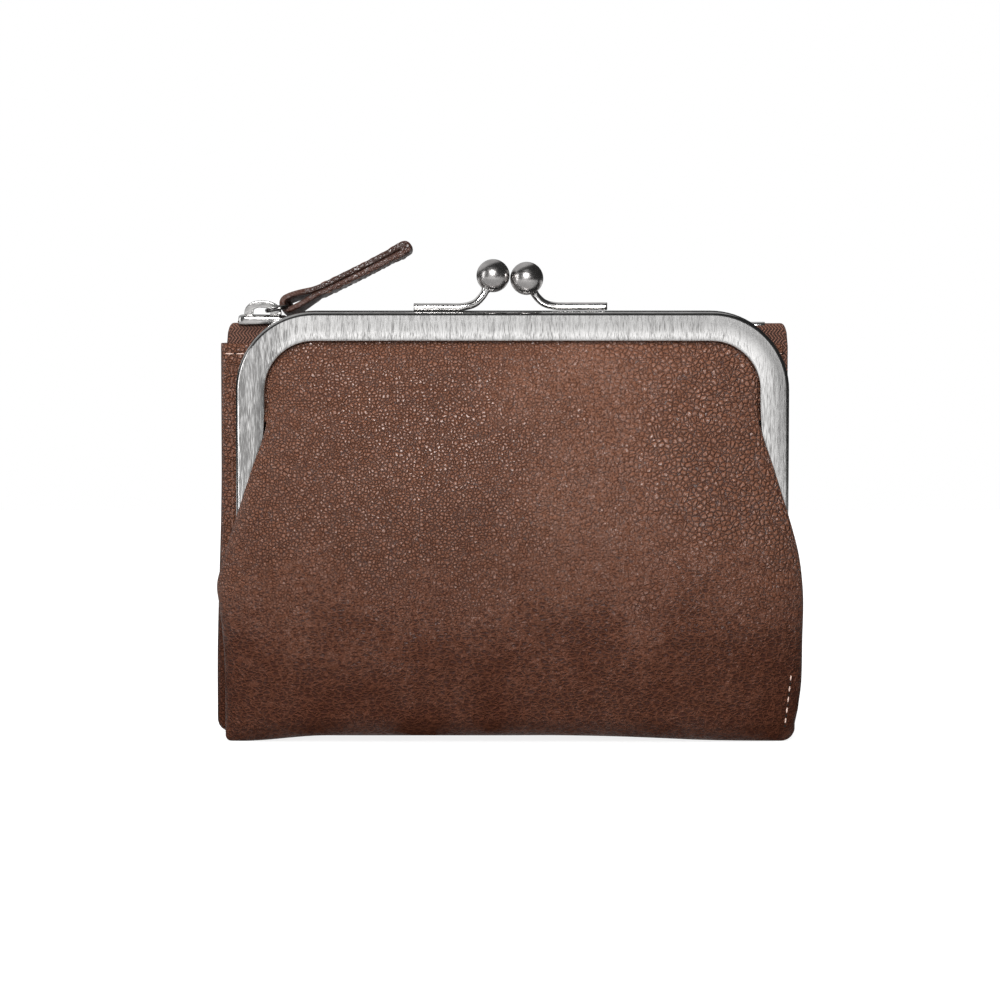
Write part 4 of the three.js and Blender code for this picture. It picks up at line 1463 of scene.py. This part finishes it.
# ---------------------------------------------------------------- zip pocket
@dataclass
class ZipPocket:
    """The flat pocket on the back: two soft walls sewn together at the sides and the base."""

    layout: Layout
    finishes: Finishes
    thickness: float = 1.05 * MM
    edge: float = 1.02 * MM
    corner: float = 3.0 * MM
    easing: float = 5.0 * MM
    seam_inset: float = 2.4 * MM
    seam_turn: float = 3 * MM
    hem: float = 2.2 * MM

    def top(self) -> float:
        """The height of the walls' folded top edges."""
        return self.layout.pocket_high.z

    def middle(self) -> float:
        """The plane halfway between the two walls."""
        return (self.layout.pocket_low.y + self.layout.pocket_high.y) / 2.0

    def half_depth(self, x: float, z: float) -> float:
        """How far a wall stands from the middle plane.

        Args:
            x: across the pocket.
            z: the height.

        Returns:
            The distance to the wall's outer face.
        """
        full = (self.layout.pocket_high.y - self.layout.pocket_low.y) / 2.0
        left, right = self.sides(z)
        near = min(x - left, right - x, z - 0.15 * MM)
        share = min(1.0, max(0.0, near / self.easing))
        ease = math.sqrt(1.0 - (1.0 - share) ** 2)
        slack = (waver((x, 0.0, z), 21 * MM, 9.3) * 0.32 + waver((x, 0.0, z), 8 * MM, 4.1) * 0.12) * MM
        pressed = bell(self.top() - z, self.hem, 0.5 * MM) + 0.9 * bell(near, self.seam_inset, 0.45 * MM)
        rolled = 0.35 * MM * (1.0 - math.sqrt(1.0 - (1.0 - min(1.0, (self.top() - z) / (0.7 * MM))) ** 2))
        inner = self.edge + (full - 0.35 * MM - self.edge) * ease + min(0.3 * MM, slack * ease)
        return inner - 0.16 * MM * pressed - rolled

    def sides(self, z: float) -> Tuple[float, float]:
        """The left and right edges at a height, with the bottom corners rounded."""
        under = max(0.0, self.corner - z)
        cut = self.corner - math.sqrt(max(0.0, self.corner ** 2 - under ** 2))
        left = self.layout.pocket_low.x + cut + 1.1 * MM * smooth(z, 12 * MM, 60 * MM) - 0.8 * MM
        return left, self.layout.pocket_high.x - cut - 0.3 * MM

    def outline(self, u: float, t: float) -> Tuple[float, float]:
        """The x and z of a wall's point."""
        z = self.top() * (1.0 - t) + 0.15 * MM * t
        left, right = self.sides(z)
        even = (u + 1.0) / 2.0
        eased = 0.7 * even + 0.3 * (0.5 - 0.5 * math.cos(math.pi * even))
        return left + (right - left) * eased, z

    def wall(self, half: Half) -> Piece:
        """Build one wall.

        Args:
            half: the front wall or the rear one.

        Returns:
            The finished wall.
        """
        sign = half.value

        def place(u: float, t: float) -> Point:
            """Place a point of the wall's outer face."""
            x, z = self.outline(u, t)
            return (x, self.middle() + sign * self.half_depth(x, z), z)

        bm = facing(moulded_sheet(130, 110, place), Vector((0, sign, 0)))
        word = half.name.lower()
        piece = finished(f"pocket_wall_{word}", bm, self.finishes.pocket_leather, outward=False)
        thickened(piece, self.thickness)
        return settle(piece, BODY, "pouch_leather", f"zip_pocket_{word}_wall")

    def seams(self, half: Half) -> None:
        """Sew the hem under the zip and the seam down the sides and along the base."""
        sign = half.value
        low, high = self.layout.pocket_low.x, self.layout.pocket_high.x
        word = half.name.lower()

        def on_wall(x: float, z: float) -> Vector:
            """A point on the wall's outer face."""
            return Vector((x, self.middle() + sign * self.half_depth(x, z), z))

        def out(spot: Vector) -> Vector:
            """The way the wall faces."""
            return Vector((0.0, float(sign), 0.0))

        hem_z = self.top() - self.hem
        hem = [on_wall(low + 1.2 * MM + (high - low - 2.4 * MM) * i / 240, hem_z) for i in range(241)]
        row = StitchRow(length=1.9 * MM, gap=0.6 * MM, thick=0.2 * MM)
        settle(row.sew(f"hem_stitches_{word}", hem, out, self.finishes.pale_thread, self.finishes.hole),
               BODY, "pouch_leather")
        inset = self.seam_inset + 0.3 * MM
        turn = self.seam_turn
        upper, base = hem_z - 2.5 * MM, inset + turn
        left, right = low + inset + turn, high - inset - turn

        def corner(x: float, start: float) -> List[Tuple[float, float]]:
            """A quarter turn of the seam round one of the wall's lower corners."""
            angles = [start + math.pi / 2 * step / 12 for step in range(13)]
            return [(x + turn * math.cos(angle), base + turn * math.sin(angle)) for angle in angles]

        route = [(low + inset, upper - (upper - base) * i / 120) for i in range(121)] + corner(left, math.pi)
        route += [(left + (right - left) * i / 200, inset) for i in range(1, 201)] + corner(right, 1.5 * math.pi)
        route += [(high - inset, base + (upper - base) * i / 120) for i in range(1, 121)]
        edge = [on_wall(x, z) for x, z in route]
        sewn = StitchRow(length=2.0 * MM, gap=0.6 * MM, thick=0.22 * MM)
        settle(sewn.sew(f"side_stitches_{word}", edge, out, self.finishes.brown_thread, self.finishes.hole),
               BODY, "pouch_leather")

    def build(self) -> None:
        """Build both walls and their seams."""
        for half in Half:
            self.wall(half)
            self.seams(half)


# ---------------------------------------------------------------- zip
@dataclass
class Zip:
    """The zip: two woven tapes folded over to the middle, with coiled teeth and stops."""

    layout: Layout
    finishes: Finishes
    tape: float = 0.45 * MM
    fold: float = 1.25 * MM
    end_round: float = 1.7 * MM
    pitch: float = 1.15 * MM
    wire: float = 0.26 * MM

    def tape_path(self, half: Half) -> List[Tuple[float, float]]:
        """The tape's line in y and z, from inside the pocket over to the middle."""
        low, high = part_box(f"zip_tape_{half.name.lower()}")
        outside, inside = (low.y, high.y) if half is Half.FRONT else (high.y, low.y)
        top = high.z + 0.45 * MM
        points = [(outside, low.z + (top - self.fold - low.z) * i / 10) for i in range(10)]
        for step in range(9):
            angle = math.pi / 2 * step / 8
            points.append((outside - half.value * self.fold * (1 - math.cos(angle)),
                           top - self.fold * (1 - math.sin(angle))))
        points.append((inside, top + 0.05 * MM))
        return points

    def tape_piece(self, half: Half) -> Piece:
        """Build one tape.

        Args:
            half: front or rear.

        Returns:
            The finished tape.
        """
        word = half.name.lower()
        low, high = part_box(f"zip_tape_{word}")
        path = [Vector(p) for p in self.tape_path(half)]
        lengths = [0.0]
        for a, b in zip(path, path[1:]):
            lengths.append(lengths[-1] + (b - a).length)
        wall_top = self.layout.pocket_high.z - 0.6 * MM

        def along(t: float) -> Vector:
            """The point a share t of the way along the path, from the inner edge outwards."""
            at = (1.0 - t) * lengths[-1]
            for index in range(1, len(path)):
                if at <= lengths[index]:
                    share = (at - lengths[index - 1]) / (lengths[index] - lengths[index - 1])
                    return path[index - 1].lerp(path[index], share)
            return path[-1]

        def place(u: float, t: float) -> Point:
            """Place a point; the ends of the dome are rounded down."""
            left, right = low.x - 0.5 * MM, high.x + 1.5 * MM
            x = (left + right) / 2 + (0.3 * u + 0.7 * math.sin(u * math.pi / 2)) * (right - left) / 2
            spot = along(t)
            near = min(x - left, right - x)
            over = max(0.0, 1.0 - near / self.end_round)
            shrink = max(0.0, 1.0 - over ** 2.6) ** 0.42
            z = spot.y if spot.y < wall_top else wall_top + (spot.y - wall_top) * shrink
            return (x, spot.x, z + waver((x, 0.0, 0.0), 12 * MM, 1.3) * 0.1 * MM)

        def weave(u: float, t: float) -> Tuple[float, float]:
            """UV coordinates in metres along and across the tape."""
            return ((0.3 * u + 0.7 * math.sin(u * math.pi / 2)) * (high.x - low.x) / 2, t * lengths[-1])

        bm = facing(moulded_sheet(170, 44, place, weave), Vector((0, half.value, 0)))
        piece = finished(f"tape_{word}", bm, self.finishes.tape, outward=False)
        thickened(piece, self.tape)
        return settle(piece, BODY, "zip_cloth", f"zip_tape_{word}")

    def coil(self, half: Half) -> Piece:
        """Spin a flattened helix of nylon along the zip.

        Args:
            half: front or rear.

        Returns:
            The finished coil.
        """
        word = half.name.lower()
        low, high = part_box(f"zip_coil_{word}")
        centre = (low + high) / 2.0
        tall = (high.z - low.z) / 2.0 - self.wire
        deep = (high.y - low.y) / 2.0 - self.wire + 0.12 * MM
        turns = int((high.x - low.x) / self.pitch)
        steps = turns * 10
        bm = bmesh.new()
        ring = bmesh.ops.create_circle(bm, cap_ends=False, segments=5, radius=self.wire)["verts"]
        bmesh.ops.translate(bm, verts=ring, vec=(tall, 0, 0))
        bmesh.ops.rotate(bm, verts=ring, cent=(0, 0, 0), matrix=Matrix.Rotation(-math.pi / 2, 3, "Y"))
        phase = math.pi if half is Half.REAR else 0.0
        bmesh.ops.rotate(bm, verts=ring, cent=(0, 0, 0), matrix=Matrix.Rotation(math.pi / 2, 3, "Z"))
        bmesh.ops.rotate(bm, verts=ring, cent=(0, 0, 0), matrix=Matrix.Rotation(phase, 3, "X"))
        edges = list(bm.edges)
        start = bm.faces.new(ring)
        made = bmesh.ops.spin(bm, geom=ring + edges, cent=(0, 0, 0), axis=(1, 0, 0), angle=2 * math.pi * turns,
                              steps=steps, dvec=((high.x - low.x - 0.6 * MM) / steps, 0, 0), use_duplicate=False)
        last = [item for item in made["geom_last"] if isinstance(item, Edge)]
        bmesh.ops.contextual_create(bm, geom=last)
        start.smooth = True
        bmesh.ops.scale(bm, verts=bm.verts, vec=(1.0, deep / tall, 1.0))
        bmesh.ops.translate(bm, verts=bm.verts, vec=(low.x + 0.3 * MM, centre.y, centre.z))
        piece = finished(f"coil_{word}", bm, self.finishes.coil, sharp=80.0)
        return settle(piece, BODY, "zip_coil", f"zip_coil_{word}")

    def stop(self, node: str) -> Piece:
        """Build a clamped metal stop: a pressed strip with its ends turned down."""
        low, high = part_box(node)
        middle = (low.y + high.y) / 2
        deep = (high.y - low.y) / 2 + 0.2 * MM
        thick = 0.45 * MM
        if node == "zip_top_stop":
            low.z, high.z = low.z - 0.7 * MM, high.z - 0.7 * MM
        outline = []
        rise = 0.9 * MM
        for thin, steps in ((0.0, range(13)), (thick, range(12, -1, -1))):
            for angle in [math.pi * step / 12 for step in steps]:
                outline.append((low.x, middle - (deep - thin) * math.cos(angle),
                                high.z - rise + (rise - thin) * math.sin(angle) ** 0.6))
        bm = bmesh.new()
        extruded_outline(bm, outline, (high.x - low.x, 0, 0))
        softened(bm, 0.08 * MM, 2, 40.0)
        piece = finished(node.replace("zip_", "stop_"), bm, self.finishes.zip_metal)
        return settle(piece, BODY, "zip_metal", node)

    def build(self) -> None:
        """Build the tapes, coils and stops."""
        for half in Half:
            self.tape_piece(half)
            self.coil(half)
        for node in ("zip_top_stop", "zip_end_stop"):
            self.stop(node)


@dataclass
class Slider:
    """The slider: a waisted saddle with a pierced bridge that holds the ring."""

    finishes: Finishes
    taper: Knots = ((0.0, 0.78), (0.05, 0.93), (0.14, 1.0), (0.5, 0.97), (0.85, 0.88), (0.97, 0.84), (1.0, 0.76))

    def body(self) -> Piece:
        """Extrude the saddle's section along the zip, waisting it as it goes."""
        low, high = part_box("slider_body")
        middle = (low.y + high.y) / 2
        half = (high.y - low.y) / 2
        wall, plate = 0.6 * MM, 0.8 * MM
        foot = low.z + 0.75 * MM
        section = [
            (-half, foot), (-half + wall, foot), (-half + wall, high.z - plate), (half - wall, high.z - plate),
            (half - wall, foot), (half, foot), (half, high.z - 0.45 * MM), (half - 0.15 * MM, high.z - 0.15 * MM),
            (half - 0.5 * MM, high.z), (-half + 0.5 * MM, high.z), (-half + 0.15 * MM, high.z - 0.15 * MM),
            (-half, high.z - 0.45 * MM)]
        bm = bmesh.new()
        rings = []
        for share, scale in self.taper:
            x = low.x + (high.x - low.x) * share
            dip = 0.25 * MM * (1.0 - scale) / 0.24
            rings.append([bm.verts.new((x, middle + y * scale, z - (dip if z > foot + 0.5 * MM else 0.0)))
                          for y, z in section])
        for near, far in zip(rings, rings[1:]):
            near_edges = [bm.edges.get((near[i], near[i - 1])) or bm.edges.new((near[i], near[i - 1]))
                          for i in range(len(near))]
            far_edges = [bm.edges.get((far[i], far[i - 1])) or bm.edges.new((far[i], far[i - 1]))
                         for i in range(len(far))]
            bmesh.ops.bridge_loops(bm, edges=near_edges + far_edges)
        bm.faces.new(rings[0])
        bm.faces.new(rings[-1])
        softened(bm, 0.1 * MM, 2, 50.0)
        return settle(finished("slider", bm, self.finishes.zip_metal, sharp=45.0), "zip_slider", "zip_metal",
                      "slider_body")

    def bridge(self) -> Piece:
        """Extrude the half-round bridge with its arched opening."""
        low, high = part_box("slider_bridge")
        centre = (low.x + high.x) / 2
        half = (high.x - low.x) / 2
        rise = high.z - low.z
        foot = low.z - 0.25 * MM
        outline = []
        for step in range(25):
            angle = math.pi * step / 24
            reach = half + (0.9 * MM if angle < math.pi / 2 else 0.0)
            outline.append((centre + reach * math.cos(angle), low.y, low.z + rise * math.sin(angle) ** 0.8))
        outline.append((centre - half, low.y, foot))
        left, right, crest = centre - 1.7 * MM, centre + 2.1 * MM, low.z + 1.45 * MM
        outline.append((left, low.y, foot))
        for step in range(11):
            angle = math.pi * (1.0 - step / 10)
            outline.append(((left + right) / 2 + (right - left) / 2 * math.cos(angle), low.y,
                            low.z + (crest - low.z) * math.sin(angle) ** 0.45))
        outline.append((right, low.y, foot))
        outline.append((centre + half + 0.9 * MM, low.y, foot))
        bm = bmesh.new()
        extruded_outline(bm, outline, (0, high.y - low.y, 0))
        bmesh.ops.remove_doubles(bm, verts=bm.verts, dist=1e-6)
        softened(bm, 0.14 * MM, 3, 50.0)
        return settle(finished("bridge", bm, self.finishes.zip_metal, sharp=45.0), "zip_slider", "zip_metal",
                      "slider_bridge")


@dataclass
class PullTab:
    """The oval ring and the folded, stitched leather tab that hangs from it."""

    finishes: Finishes
    joints: Sequence[Dict[str, object]]
    wire: float = 0.45 * MM
    ring_half: float = 3.3 * MM
    angle: float = 26.3
    length: float = 29.3 * MM
    half_width: float = 2.2 * MM
    loop: float = 2.2 * MM
    loop_centre: float = -0.2 * MM
    strip: float = 1.38 * MM
    tip: float = 1.66 * MM
    leather: float = 1.38 * MM

    def pivot(self, name: str) -> Vector:
        """A joint's place."""
        return Vector(next(j for j in self.joints if j["name"] == name)["pos_m"])

    def ring(self) -> Piece:
        """Spin the ring's wire round an oval and lay it from the bridge to the tab."""
        start, end = self.pivot("ring_swing"), self.pivot("tab_swing")
        along = end - start
        bm = bmesh.new()
        wire = bmesh.ops.create_circle(bm, cap_ends=False, segments=14, radius=self.wire)["verts"]
        bmesh.ops.rotate(bm, verts=wire, cent=(0, 0, 0), matrix=Matrix.Rotation(math.pi / 2, 3, "X"))
        bmesh.ops.translate(bm, verts=wire, vec=(self.ring_half, 0, 0))
        bmesh.ops.spin(bm, geom=wire + list(bm.edges), cent=(0, 0, 0), axis=(0, 0, 1), angle=2 * math.pi,
                       steps=56, use_merge=True)
        bmesh.ops.remove_doubles(bm, verts=bm.verts, dist=1e-6)
        bmesh.ops.scale(bm, verts=bm.verts, vec=(along.length / 2 / self.ring_half, 1.0, 1.0))
        tilt = Matrix.Rotation(-math.atan2(along.z, along.x), 3, "Y")
        bmesh.ops.rotate(bm, verts=bm.verts, cent=(0, 0, 0), matrix=tilt)
        bmesh.ops.translate(bm, verts=bm.verts, vec=(start + end) / 2)
        return settle(finished("oval_ring", bm, self.finishes.ring), "pull_ring", "dark_nickel", "pull_ring")

    def half_thickness(self, along: float) -> float:
        """Half the folded tab's thickness at a distance from its pivot."""
        neck = 1.0 - smooth(along, 0.2 * MM, 6.5 * MM)
        swollen = smooth(along, self.length - 5.5 * MM, self.length - 2.5 * MM)
        return self.strip + (self.loop - self.strip) * neck + (self.tip - self.strip) * swollen

    def outline(self) -> List[Tuple[Vector, Vector]]:
        """The folded strap seen edge on: pairs of its outer and inner faces, all the way round."""
        pairs = []
        hollow = self.loop - self.leather
        for step in range(21):
            angle = math.radians(100.0 + 160.0 * step / 20)
            ray = Vector((math.cos(angle), math.sin(angle)))
            centre = Vector((self.loop_centre, 0.0))
            pairs.append((centre + ray * self.loop, centre + ray * hollow))
        last = self.length - self.tip
        count = 60
        line = [0.15 * MM + (last - 0.15 * MM) * i / count for i in range(count + 1)]
        for u in line:
            half = self.half_thickness(u)
            hollow = max(-0.02 * MM, (half - self.leather) * (1.0 - smooth(u, 4.5 * MM, 6.5 * MM)) - 0.02 * MM)
            pairs.append((Vector((u, -half)), Vector((min(u, last - 1.0 * MM), -hollow))))
        for step in range(1, 14):
            angle = math.radians(-90.0 + 180.0 * step / 14)
            rim = Vector((last + self.tip * math.cos(angle), self.tip * math.sin(angle)))
            pairs.append((rim, Vector((last - 1.0 * MM, -0.02 * MM * math.sin(angle)))))
        pairs += [(Vector((outer.x, -outer.y)), Vector((inner.x, -inner.y)))
                  for outer, inner in reversed(pairs[21:21 + count + 1])]
        return pairs

    def world(self, along: float, across: float, y: float) -> Vector:
        """Turn the tab's own coordinates into the purse's."""
        pivot = self.pivot("tab_swing")
        turn = math.radians(self.angle)
        bow = 0.9 * MM * math.sin(math.pi * min(1.0, max(0.0, along / self.length)))
        twist = math.radians(12.0 + 11.0 * (1.0 - smooth(along, 0.0, 9 * MM)))
        across, y = across * math.cos(twist) - y * math.sin(twist), y * math.cos(twist) + across * math.sin(twist)
        across = across - bow * 0.35
        return Vector((pivot.x + along * math.cos(turn) - across * math.sin(turn), pivot.y + y,
                       pivot.z + along * math.sin(turn) + across * math.cos(turn)))

    def section_point(self, outer: Vector, inner: Vector, turn: float) -> Vector:
        """A point on the strap's rounded section: from the outer face round its edge to the inner one."""
        cosine, sine = math.cos(turn), math.sin(turn)
        depth = 0.5 - 0.5 * math.copysign(abs(cosine) ** 0.55, cosine)
        y = self.half_width * math.copysign(abs(sine) ** 0.30, sine)
        flat = outer.lerp(inner, depth)
        along, across = flat
        held = smooth(along, 4 * MM, 8 * MM)
        near = abs(y) / self.half_width
        lumps = 0.0
        if across < 0:
            lumps = 0.17 * MM * math.sin(2 * math.pi * along / (2.35 * MM)) * smooth(near, 0.4, 0.85) * held
        wave = waver((along, across, y), 4.5 * MM, 6.2) * 0.16 * MM
        pressed = 1.0 - 0.10 * bell(near, 0.72, 0.12) * held
        swing = 0.12 * MM * waver((along, 0.0, 3.0), 3 * MM, 2.4) * near
        return self.world(along, across * pressed + math.copysign(1.0, across) * (lumps + wave) * (1.0 - depth),
                          y + swing)

    def tab(self) -> Piece:
        """Sweep the strap's rounded section right round its folded outline."""
        pairs = self.outline()
        sides = 36
        turns = [2 * math.pi * i / sides for i in range(sides)]
        bm = bmesh.new()
        ring = [bm.verts.new(self.section_point(*pairs[0], turn)) for turn in turns]
        edges = [bm.edges.new((ring[i - 1], ring[i])) for i in range(sides)]
        first_edges = edges
        for outer, inner in pairs[1:]:
            grown = bmesh.ops.extrude_edge_only(bm, edges=edges)["geom"]
            fresh = {tuple(item.co): item for item in grown if isinstance(item, Corner)}
            ring = [fresh[tuple(vert.co)] for vert in ring]
            for vert, turn in zip(ring, turns):
                vert.co = self.section_point(outer, inner, turn)
            edges = [item for item in grown if isinstance(item, Edge)]
        bmesh.ops.bridge_loops(bm, edges=first_edges + edges)
        pivot = self.pivot("tab_swing")
        for face in bm.faces:
            spot = face.calc_center_median()
            above = (spot.z - pivot.z) * math.cos(math.radians(self.angle))
            above -= (spot.x - pivot.x) * math.sin(math.radians(self.angle))
            side = abs(spot.y - pivot.y) > 0.80 * self.half_width
            face.material_index = 1 if side and above > -0.2 * MM else 0
        piece = finished("leather_tab", bm, self.finishes.tab_leather, self.finishes.edge_paint, sharp=80.0)
        return settle(piece, "pull_tab", "pouch_leather", "pull_tab")

    def stitches(self) -> None:
        """Sew along both long edges of the tab, on its upper and lower faces."""
        turn = math.radians(self.angle)
        for across, word in ((1.0, "upper"), (-1.0, "lower")):
            for y, end in ((-1.0, "front"), (1.0, "rear")):
                route = []
                for step in range(80):
                    along = 6.8 * MM + (self.length - 9.2 * MM) * step / 79
                    depth = self.half_thickness(along) * 0.9
                    route.append(self.world(along, across * depth, y * 0.74 * self.half_width))
                out = Vector((-math.sin(turn) * across, 0.0, math.cos(turn) * across))
                row = StitchRow(length=1.75 * MM, gap=0.6 * MM, thick=0.21 * MM)
                seam = row.sew(f"tab_stitches_{word}_{end}", route, lambda spot, way=out: way,
                               self.finishes.brown_thread, self.finishes.hole)
                settle(seam, "pull_tab", "pouch_leather")

    def build(self) -> None:
        """Build the ring, the tab and its stitches."""
        self.ring()
        self.tab()
        self.stitches()


# ---------------------------------------------------------------- studio
@dataclass(frozen=True)
class Lobe:
    """A bright part of the surroundings: its direction, where it fades in and is full, its strength."""

    axis: Point
    low: float
    high: float
    strength: float


@dataclass
class Studio:
    """A white table with soft light, and the camera straight in front, a little above."""

    lens: float = 180.0
    sensor: float = 36.0
    view_width: float = 217.0 * MM
    elevation: float = 5.0
    aim: Point = (-2.7 * MM, -4.0 * MM, 52.2 * MM)
    middle: Point = (0.0, 0.0, 50.0 * MM)
    floor_half: float = 550.0 * MM
    dim: float = 0.012
    lobes: Tuple[Lobe, ...] = (
        Lobe((-0.22, -0.95, -0.22), 0.87, 0.985, 0.80), Lobe((-0.30, -0.88, -0.36), 0.25, 0.90, 0.10),
        Lobe((-0.40, 0.60, 0.70), 0.72, 0.82, 0.60))

    def camera(self) -> None:
        """Stand the camera where the view is as wide as the frame needs."""
        distance = self.view_width * self.lens / self.sensor
        tilt = math.radians(self.elevation)
        data = bpy.data.cameras.new("camera")
        data.lens = self.lens
        data.sensor_width = self.sensor
        data.clip_end = 20.0
        camera = bpy.data.objects.new("camera", data)
        camera.location = Vector(self.aim) + Vector((0, -math.cos(tilt), math.sin(tilt))) * distance
        camera.rotation_euler = (math.pi / 2 - tilt, 0, 0)
        bpy.context.scene.collection.objects.link(camera)
        bpy.context.scene.camera = camera

    def panel(self, name: str, place: Point, size: Tuple[float, float], power: float,
              mirrored: bool = True) -> None:
        """Hang a soft rectangular light that points at the middle of the purse.

        Args:
            name: the light's name.
            place: where it hangs.
            size: its width and height.
            power: its power in watts.
            mirrored: whether glossy surfaces show it.
        """
        data = bpy.data.lights.new(name, "AREA")
        data.shape = "RECTANGLE"
        data.size, data.size_y = size
        data.energy = power
        light = bpy.data.objects.new(name, data)
        light.location = place
        light.rotation_euler = (Vector(self.middle) - Vector(place)).to_track_quat("-Z", "Y").to_euler()
        light.visible_glossy = mirrored
        bpy.context.scene.collection.objects.link(light)

    def surroundings(self) -> None:
        """Light the room: bright in front and behind, dim at the sides and overhead."""
        world = bpy.data.worlds.new("studio")
        bpy.context.scene.world = world
        world.use_nodes = True
        tree = world.node_tree

        def made(kind: str, values: Dict[object, object], **settings: str) -> bpy.types.NodeOutputs:
            """Add a node, link or set its inputs, and give its outputs."""
            node = tree.nodes.new(kind)
            for name, setting in settings.items():
                setattr(node, name, setting)
            for key, value in values.items():
                if isinstance(value, Socket):
                    tree.links.new(value, node.inputs[key])
                else:
                    node.inputs[key].default_value = value
            return node.outputs

        place = made("ShaderNodeTexCoord", {})["Generated"]
        total = None
        for lobe in self.lobes:
            toward = made("ShaderNodeVectorMath", {0: place, 1: lobe.axis}, operation="DOT_PRODUCT")["Value"]
            span = {"Value": toward, "From Min": lobe.low, "From Max": lobe.high, "To Min": self.dim,
                    "To Max": lobe.strength}
            glow = made("ShaderNodeMapRange", span, interpolation_type="SMOOTHSTEP")["Result"]
            total = glow if total is None else made("ShaderNodeMath", {0: total, 1: glow}, operation="ADD")[0]
        seen = made("ShaderNodeLightPath", {})["Is Camera Ray"]
        back = tree.nodes["Background"].inputs
        tree.links.new(made("ShaderNodeMix", {0: seen, 2: total, 3: 1.0}, data_type="FLOAT")[0], back["Strength"])
        back["Color"].default_value = (1.0, 1.0, 1.0, 1.0)

    def table(self) -> None:
        """Lay the white floor: evenly white to the camera, while to everything else it glows brightly just round the
        purse, a painted pool of light that lights its underside, and again far off.
        """
        bm = bmesh.new()
        bmesh.ops.create_grid(bm, x_segments=8, y_segments=8, size=self.floor_half)
        shader = Shader("white_table")
        shader.surface.inputs["Roughness"].default_value = 0.9
        shader.surface.inputs["Specular IOR Level"].default_value = 0.0
        shader.surface.inputs["Emission Color"].default_value = (1.0, 1.0, 1.0, 1.0)
        reach = shader.node("ShaderNodeVectorMath", operation="LENGTH")
        shader.join(shader.stretched((0.55, 1.0, 1.0)), reach.inputs[0])
        # Painted light: a glowing patch round the purse that lights its underside and shows in its reflections.
        near = shader.ramp(reach.outputs["Value"], 0.030, 0.060, 0.42, 0.02)
        far = shader.ramp(reach.outputs["Value"], 0.25, 0.40, 0.0, 0.55)
        seen = shader.node("ShaderNodeLightPath").outputs["Is Camera Ray"]
        glow = shader.node("ShaderNodeMix", data_type="FLOAT")
        shader.join(seen, glow.inputs[0])
        shader.join(shader.math("ADD", near, far), glow.inputs[2])
        glow.inputs[3].default_value = 0.84
        shader.join(glow.outputs[0], shader.surface.inputs["Emission Strength"])
        tone = shader.ramp(shader.noise(0.4, 2.0), 0.3, 0.7)
        shader.join(shader.mix(tone, (0.27, 0.27, 0.27, 1.0), (0.29, 0.29, 0.29, 1.0)),
                    shader.surface.inputs["Base Color"])
        floor = finished("floor", bm, shader.material, outward=False)

    def build(self) -> None:
        """Set up the camera, the lights and the floor."""
        self.camera()
        self.surroundings()
        self.table()
        self.panel("key", (-0.22, -0.62, 1.15), (0.50, 0.40), 17.0, mirrored=False)
        self.panel("glint", (-0.10, -1.15, 0.64), (0.46, 0.36), 15.0)
        self.panel("left", (-1.10, -0.35, 0.25), (0.25, 0.70), 2.2)
        self.panel("back", (0.45, 1.0, 0.6), (0.6, 0.5), 13.0, mirrored=False)
        scene = bpy.context.scene
        scene.view_settings.view_transform = "Standard"
        scene.view_settings.look = "None"


def main() -> None:
    """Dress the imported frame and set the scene."""
    logging.basicConfig(level=logging.INFO, format="%(message)s")
    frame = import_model()
    Studio().build()
    layout = Layout.read(frame["joints"])
    finishes = Finishes()
    clasp_frame = ClaspFrame(layout, finishes)
    clasp = BallClasp(layout, finishes)
    for half in Half:
        clasp_frame.build(half)
        clasp.build(half)
        cord = frame["nodes"][f"paper_cord_{half.name.lower()}"]
        cord.data.materials.clear()
        cord.data.materials.append(finishes.paper)
    rivet = HingeRivet(layout, finishes)
    for side in Side:
        rivet.build(side)
    Pouch(layout, finishes).build()
    ZipPocket(layout, finishes).build()
    Zip(layout, finishes).build()
    slider = Slider(finishes)
    slider.body()
    slider.bridge()
    PullTab(finishes, frame["joints"]).build()


if __name__ == "__main__":
    main()
